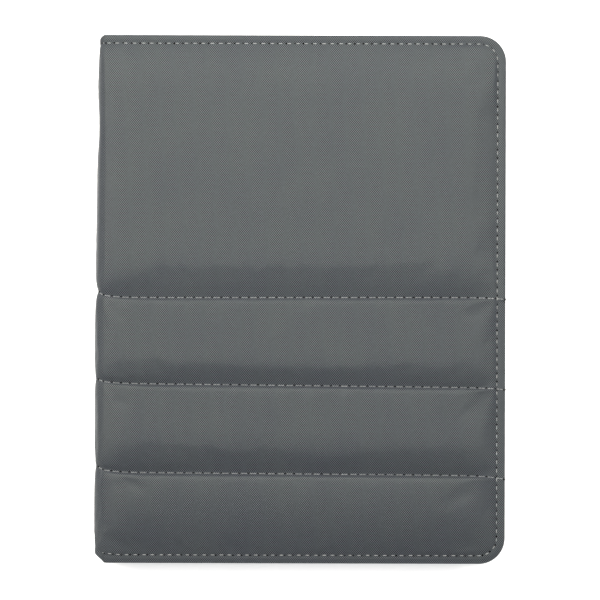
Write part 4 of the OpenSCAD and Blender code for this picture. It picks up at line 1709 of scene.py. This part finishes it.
@dataclass
class HingeStrip:
    """A bent strip of webbing glued to two panels, which turns between them."""

    name: str
    node: str
    bodies: tuple[str, str]
    path: Sequence[tuple[float, float]]
    start: tuple[float, float]
    end: tuple[float, float]
    half: float
    rows: int = 60
    samples: int = 28
    t_half: float = 0.19 * MM
    wave: float = 0.03 * MM
    wave_pitch: float = 23 * MM

    def build(self) -> None:
        """Makes the strip and hides the imported strip it replaces."""
        route = np.array(self.path)
        gaps = np.linalg.norm(np.diff(route, axis=0), axis=1)
        way = np.concatenate([[0], np.cumsum(gaps)])
        t = np.linspace(0, way[-1], self.samples)
        line = np.column_stack([np.interp(t, way, route[:, 0]), np.interp(t, way, route[:, 1])])
        for _ in range(3):
            line[1:-1] = (line[:-2] + 2 * line[1:-1] + line[2:]) / 4
        along = np.gradient(line, axis=0)
        along /= np.linalg.norm(along, axis=1, keepdims=True)
        normal = np.column_stack([-along[:, 1], along[:, 0]])
        y = np.linspace(self.half, -self.half, self.rows)[:, None]
        faces = []
        for side in (1, -1):
            x, z = (line + normal * self.t_half * side).T
            wave = self.wave * np.sin(y * math.tau / self.wave_pitch)
            faces.append(np.stack([x + wave, y + 0 * x, z + 0 * y], -1))
        strip = new_piece(self.name, *thick_sheet(*faces), WEBBING)
        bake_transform(strip)
        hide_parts(self.node)
        LOG.info("%s bends between %s and %s", self.name, *self.bodies)


@dataclass
class Tray:
    """The tablet tray: cloth over its board, four elastic corner straps and its hinge strip."""

    corner_r: float = 6 * MM
    strap_rows: int = 24
    strap_columns: int = 12
    strap_near: float = 15 * MM
    strap_far: float = 30 * MM
    strap_t: float = 0.66 * MM
    strap_bow: float = 0.06 * MM

    def build_cloth(self) -> None:
        """Makes the cloth that wraps the board's face and the cloth on its back."""
        face_lo, face_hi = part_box("tray_face_fabric")
        back_lo, back_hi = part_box("tray_back_fabric")
        box = (face_lo.x, face_hi.x, face_lo.y, face_hi.y)
        rim = 0.35 * MM
        low, high = face_lo.z, face_hi.z
        turn = np.radians(np.linspace(0, 90, 5))
        top = [(float(rim * (1 - np.cos(a))) - 0.3 * MM, float(high - rim + rim * np.sin(a))) for a in turn]
        rings = [(3 * MM, low), (0.04 * MM, low), (0.04 * MM, back_hi.z), (-0.3 * MM, back_hi.z)] + top
        sewn_down = high - 0.04 * MM
        rings += [(2 * MM, high), (4 * MM, high), (5 * MM, sewn_down), (6 * MM, high), (30 * MM, high)]
        plate = RingPlate(box, rings, self.corner_r, self.corner_r, 8, 40)
        face = new_piece("tray_face_cloth", *plate.mesh(), LINING)
        place_piece(face, "tablet_tray", "lining_cloth", "tray_face_fabric")
        rings = rounded_rings(back_lo.z, back_hi.z, 0.18 * MM, 4, (1 * MM, 3 * MM, 20 * MM))
        plate = RingPlate(box, rings, self.corner_r, self.corner_r, 8, 40)
        back = new_piece("tray_back_cloth", *plate.mesh(), LINING)
        place_piece(back, "tablet_tray", "lining_cloth", "tray_back_fabric")

    def build_strap(self, node: str, at_fore: bool, at_head: bool) -> None:
        """Makes one elastic band that crosses a corner of the tray.

        Args:
            node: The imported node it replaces.
            at_fore: Whether it is at the fore-edge.
            at_head: Whether it is at the head.
        """
        lo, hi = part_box(node)
        face_lo, face_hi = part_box("tray_face_fabric")
        corner_x, into_x = (face_hi.x, -1) if at_fore else (face_lo.x, 1)
        corner_y, into_y = (face_hi.y, -1) if at_head else (face_lo.y, 1)
        near, far = self.strap_near, self.strap_far
        thick, top, foot = self.strap_t, hi.z, lo.z
        across = near + (far - near) * np.linspace(0.01, 0.99, self.strap_columns)
        bow = np.sin(np.linspace(0, math.pi, self.strap_columns)) * self.strap_bow
        turn = np.radians(np.linspace(0, 90, 5))
        side = [(0.0, foot + (top - thick - foot) * t) for t in np.linspace(0, 1, 5)[:-1]]
        over = [(thick * (1 - math.cos(a)), top - thick + thick * math.sin(a)) for a in turn]
        edge = side + over
        layers = []
        for layer in (0.0, 1.0):
            wall = []
            for inward, z in edge:
                inset = np.full_like(across, inward + layer * thick * (1 - inward / thick))
                level = np.full_like(across, z - layer * thick * (inward / thick))
                wall.append(np.column_stack([across, inset, level]))
            rows = list(wall)
            for t in np.linspace(0.04, 0.96, self.strap_rows):
                z = top - layer * thick + (1 - layer) * bow
                start = np.column_stack([across, np.full_like(across, thick), z])
                end = np.column_stack([np.full_like(across, thick), across, z])
                rows.append(start + (end - start) * t)
            rows += [row[:, [1, 0, 2]] for row in reversed(wall)]
            grid = np.array(rows)
            grid[..., 0] = corner_x + into_x * grid[..., 0]
            grid[..., 1] = corner_y + into_y * grid[..., 1]
            layers.append(grid)
        band = new_piece(f"{node}_band", *thick_sheet(*layers), ELASTIC)
        place_piece(band, "tablet_tray", "elastic", node)

    def build(self) -> None:
        """Makes the tray's soft pieces."""
        self.build_cloth()
        for at_head in (True, False):
            for at_fore in (True, False):
                node = f"{'head' if at_head else 'tail'}_{'fore' if at_fore else 'spine'}_strap"
                self.build_strap(node, at_fore, at_head)
        lo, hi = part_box("tray_hinge_strip")
        pivot = next(j for j in frame["joints"] if j["name"] == "tray_lift")["pos_m"]
        x, t = pivot[0], 0.2 * MM
        path = ((lo.x, lo.z + t), (x - 1.2 * MM, lo.z + t), (x, lo.z + 0.9 * MM), (x, hi.z - 0.9 * MM),
                (x + 1.2 * MM, hi.z - t), (hi.x, hi.z - t))
        HingeStrip("tray_hinge_webbing", "tray_hinge_strip", ("back_cover", "tablet_tray"), path,
                   (x, lo.z + 0.4 * MM), (x, hi.z - 0.4 * MM), hi.y).build()


@dataclass
class Leg:
    """The stand leg: cloth round its board, the hook tape on its foot and its hinge strip."""

    corner_r: float = 1 * MM

    def build(self) -> None:
        """Makes the leg's soft pieces."""
        lo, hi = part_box("leg_fabric")
        edge = (hi.z - lo.z) / 2
        rings = rounded_rings(lo.z, hi.z, edge * 0.8, 6, (1.5 * MM, 3 * MM, 4 * MM, 20 * MM))
        plate = RingPlate((lo.x, hi.x, lo.y, hi.y), rings, self.corner_r, self.corner_r, 6, 30)
        board_lo, board_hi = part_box("leg_board")
        gap = 0.02 * MM
        pocket_rings = rounded_rings(board_lo.z - gap, board_hi.z + gap, gap, 1, (4 * MM, 20 * MM))
        pocket_box = (board_lo.x - gap, board_hi.x + gap, board_lo.y - gap, board_hi.y + gap)
        points, faces = RingPlate(pocket_box, pocket_rings, self.corner_r, self.corner_r, 4, 20).mesh()
        pocket = points, [face[::-1] for face in faces]
        cloth = new_piece("leg_cloth", *join_meshes([plate.mesh(), pocket]), LINING, turn_out=False)
        place_piece(cloth, "stand_leg", "lining_cloth", "leg_fabric")
        flat_patch("leg_hook_tape", "leg_hook_strip", "stand_leg", "hook_and_loop", HOOKS, 1 * MM, 0, True)
        flat_patch("floor_loop_tape", "loop_patch", "back_cover", "hook_and_loop", LOOPS, 1.5 * MM,
                   proud=0.06 * MM)
        strip_lo, strip_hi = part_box("leg_hinge_strip")
        pivot = next(j for j in frame["joints"] if j["name"] == "leg_swing")["pos_m"]
        x, z, t = pivot[0], pivot[2], 0.2 * MM
        path = ((strip_lo.x, strip_hi.z - t), (x - 1 * MM, strip_hi.z - t), (x, z + 0.5 * MM),
                (x + 0.5 * MM, z), (strip_hi.x, z))
        HingeStrip("leg_hinge_webbing", "leg_hinge_strip", ("tablet_tray", "stand_leg"), path,
                   (x - 0.2 * MM, strip_hi.z - 0.4 * MM), (x + 1 * MM, z), strip_hi.y).build()


# ---------------------------------------------------------------- keyboard

@dataclass
class Keycaps:
    """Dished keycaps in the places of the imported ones."""

    wall: float = 0.9 * MM
    ceiling: float = 1.0 * MM
    corner_r: float = 1.2 * MM
    dish: float = 0.16 * MM
    taper: float = 0.18 * MM
    round_r: float = 0.3 * MM
    homing: tuple[int, ...] = (3, 6)

    def cap(self, lo: np.ndarray, hi: np.ndarray) -> Mesh:
        """One hollow cap that faces down, inside its packed box.

        Args:
            lo: Lowest corner of the box.
            hi: Highest corner of the box.

        Returns:
            The cap's mesh.
        """
        face, skirt = lo[2], hi[2]
        half = min(hi[0] - lo[0], hi[1] - lo[1]) / 2
        roof = face + self.ceiling
        rings = [(half * 0.7, roof), (self.wall + 0.05 * MM, roof), (self.wall, roof + 0.1 * MM),
                 (self.wall, skirt), (0.0, skirt), (0.0, face + 1.1 * MM),
                 (self.taper * 0.6, face + 0.45 * MM)]
        turn = np.radians(np.linspace(0, 90, 5))
        round_r = self.round_r
        rings += [(float(self.taper + round_r * (1 - np.cos(a))), float(face + round_r * (1 - np.sin(a))))
                  for a in turn]
        for share in (0.25, 0.5, 0.8):
            inset = self.taper + round_r + (half - self.taper - round_r) * share
            rings.append((inset, face + self.dish * (1 - (1 - share) ** 2)))
        plate = RingPlate((lo[0], hi[0], lo[1], hi[1]), rings, self.corner_r, self.corner_r, 4, 4)
        return plate.mesh()

    def homing_bar(self, lo: np.ndarray, hi: np.ndarray) -> Mesh:
        """The small raised bar on a home-row key.

        Args:
            lo: Lowest corner of the key's box.
            hi: Highest corner of the key's box.

        Returns:
            The bar's mesh.
        """
        mid_y, edge_x = (lo[1] + hi[1]) / 2, hi[0] - 3.2 * MM
        box = (edge_x, edge_x + 0.7 * MM, mid_y - 1.6 * MM, mid_y + 1.6 * MM)
        rings = [(0.0, lo[2] + 0.3 * MM), (0.0, lo[2] + 0.05 * MM), (0.15 * MM, lo[2] - 0.08 * MM)]
        return RingPlate(box, rings, 0.3 * MM, 0.3 * MM, 4, 2).mesh()

    def build(self, node: str) -> None:
        """Makes all the caps of one packed key node.

        Args:
            node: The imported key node.
        """
        boxes = islands(node)
        parts = [self.cap(lo, hi) for lo, hi in boxes]
        if node == "home_letter_keys":
            parts += [self.homing_bar(*boxes[i]) for i in self.homing]
        name = f"{node}_caps" if node.endswith("keys") else f"{node}_cap"
        piece = new_piece(name, *join_meshes(parts), KEYCAP)
        place_piece(piece, node, "keycaps", node)


@dataclass
class Domes:
    """The rubber sheet under the keys and its domes."""

    sheet_t: float = 0.2 * MM
    foot_r: float = 2.1 * MM
    sink: float = 0.05 * MM
    sides: int = 16
    keep: float = 0.54
    profile: tuple[tuple[float, float], ...] = (
        (1.0, 0.0), (0.99, 0.06), (0.93, 0.18), (0.83, 0.42), (0.73, 0.66), (0.68, 0.78), (0.67, 0.92),
        (0.62, 1.0), (0.36, 1.0), (0.33, 0.94))

    def dome(self, x: float, y: float, foot: float, head: float) -> Mesh:
        """One bell of rubber.

        Args:
            x: Its centre across.
            y: Its centre along.
            foot: The height where it stands on the sheet.
            head: The height of its top, under the cap.

        Returns:
            The vertices and the faces.
        """
        turn = np.linspace(0, math.tau, self.sides + 1)[:-1]
        rings = [np.stack([x + self.foot_r * width * np.cos(turn), y + self.foot_r * width * np.sin(turn),
                           np.full(self.sides, foot + (head - foot) * share)], -1)
                 for width, share in self.profile]
        return np.concatenate(rings), tube_faces(len(rings), self.sides)

    def build(self, nodes: Sequence[str]) -> None:
        """Makes the sheet, and the domes of each packed key node.

        Args:
            nodes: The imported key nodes.
        """
        lo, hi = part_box("dome_sheet")
        top = hi.z - self.sheet_t
        rings = rounded_rings(top, hi.z, 0.05 * MM, 2, (6 * MM,))
        sheet = new_piece("dome_backing_sheet", *RingPlate((lo.x, hi.x, lo.y, hi.y), rings).mesh(), RUBBER)
        place_piece(sheet, "front_cover", "dome_rubber", "dome_sheet")
        for node in nodes:
            centres = [(low + high) / 2 for low, high in islands(node)]
            parts = [self.dome(centre[0], centre[1], top + self.sink, lo.z) for centre in centres]
            domes = new_piece(f"{node}_domes", *join_meshes(parts), RUBBER)
            place_piece(domes, "front_cover", "dome_rubber")
            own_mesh(domes)


# ---------------------------------------------------------------- studio

@dataclass(frozen=True)
class SoftBox:
    """One rectangular soft light: where it stands, its width and depth, its watts, its colour and its aim."""

    name: str
    place: tuple[float, float, float]
    size: tuple[float, float]
    power: float
    colour: Colour
    aim: tuple[float, float, float] = (0.0, 0.0, 0.0)

    def build(self) -> None:
        """Makes the light."""
        lamp = bpy.data.lights.new(self.name, "AREA")
        lamp.shape = "RECTANGLE"
        lamp.size, lamp.size_y = self.size
        lamp.energy = self.power
        lamp.color = self.colour
        holder = bpy.data.objects.new(self.name, lamp)
        holder.location = self.place
        holder.rotation_euler = (Vector(self.aim) - Vector(self.place)).to_track_quat("-Z", "Y").to_euler()
        bpy.context.scene.collection.objects.link(holder)


@dataclass
class Studio:
    """Pale floor, soft lights and a long lens straight above the case."""

    sizes: CaseSizes
    distance: float = 2.2
    frame_width: float = 299.4 * MM
    aim: tuple[float, float] = (-0.1 * MM, -0.3 * MM)
    sensor: float = 36.0
    roll: float = 0.17
    floor_half: float = 3.0
    lights: tuple[SoftBox, ...] = (
        SoftBox("head_light", (-0.08, 0.5, 1.2), (2.2, 1.15), 31.0, (1.0, 0.995, 0.975), (-0.08, 0.5, 0.0)),
        SoftBox("spine_light", (-1.05, 0.5, 1.6), (0.9, 0.9), 19.0, (1.0, 0.93, 0.81)),
        SoftBox("fore_light", (1.05, 0.6, 1.6), (0.9, 0.9), 9.5, (1.0, 0.94, 0.83)),
        SoftBox("low_light", (0.0, 1.7, 0.8), (2.0, 0.6), 5.0, (1.0, 0.99, 0.97)))
    sky: Colour = (0.86, 0.92, 1.0)
    sky_power: float = 0.08

    def build_floor(self) -> None:
        """Makes the floor."""
        h = self.floor_half
        points = np.array([(x, y, 0.0) for y in (-h, h) for x in (-h, h)])
        floor = new_piece("studio_floor", points, [[0, 1, 3, 2]], FLOOR)

    def build_camera(self) -> None:
        """Makes the camera."""
        camera = bpy.data.cameras.new("camera")
        camera.sensor_width = self.sensor
        camera.lens = self.sensor * self.distance / self.frame_width
        camera.clip_end = 20.0
        holder = bpy.data.objects.new("camera", camera)
        holder.location = (*self.aim, self.sizes.top_z + self.distance)
        holder.rotation_euler = (0.0, 0.0, math.radians(self.roll))
        bpy.context.scene.collection.objects.link(holder)
        bpy.context.scene.camera = holder

    def build(self) -> None:
        """Sets the whole studio up."""
        self.build_floor()
        for light in self.lights:
            light.build()
        world = bpy.data.worlds.new("studio_world")
        world.use_nodes = True
        background = world.node_tree.nodes["Background"]
        background.inputs["Color"].default_value = (*self.sky, 1.0)
        background.inputs["Strength"].default_value = self.sky_power
        bpy.context.scene.world = world
        bpy.context.scene.view_settings.view_transform = "Standard"
        self.build_camera()


PACKED_FINISHES: dict[str, Finish] = {
    "back_board": BOARD, "spine_board": BOARD, "front_board": BOARD, "tray_board": BOARD, "leg_board": BOARD,
    "keyboard_bottom_case": SHELL, "keyboard_top_frame": SHELL, "keyboard_tape": TAPE, "key_membrane": FILM,
    "circuit_board": CIRCUIT, "battery": FOIL, "usb_socket": STEEL,
    "threaded_standoffs": BRASS, "keyboard_screws": STEEL, "status_lenses": LIGHT_PIPE,
    "switch_body": CONTROL, "power_switch": CONTROL, "pairing_button": CONTROL,
}


def dress_packed() -> None:
    """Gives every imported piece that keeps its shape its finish."""
    for node, finish in PACKED_FINISHES.items():
        mesh = frame["nodes"][node].data
        mesh.materials.clear()
        mesh.materials.append(finish.material())
        LOG.info("%s dressed in %s", node, finish.name)


def main() -> None:
    """Builds the looks of the case from the outside in."""
    logging.basicConfig(level=logging.INFO, format="%(message)s")
    sizes = CaseSizes.from_frame()
    Studio(sizes).build()
    pattern = QuiltPattern(sizes)
    shells = OuterShells(pattern)
    stitching = ShellStitching(shells)
    for side in Side:
        shells.build(side)
        shells.build_foam(side)
        stitching.build(side)
    shells.build_spine_foam()
    Linings(sizes, pattern).build(stitching.border_path())
    Tray().build()
    Leg().build()
    keys = [name for name in frame["nodes"] if name.endswith(("_keys", "_key", "space_bar"))]
    for node in keys:
        Keycaps().build(node)
    Domes().build(keys)
    dress_packed()


if __name__ == "__main__":
    main()
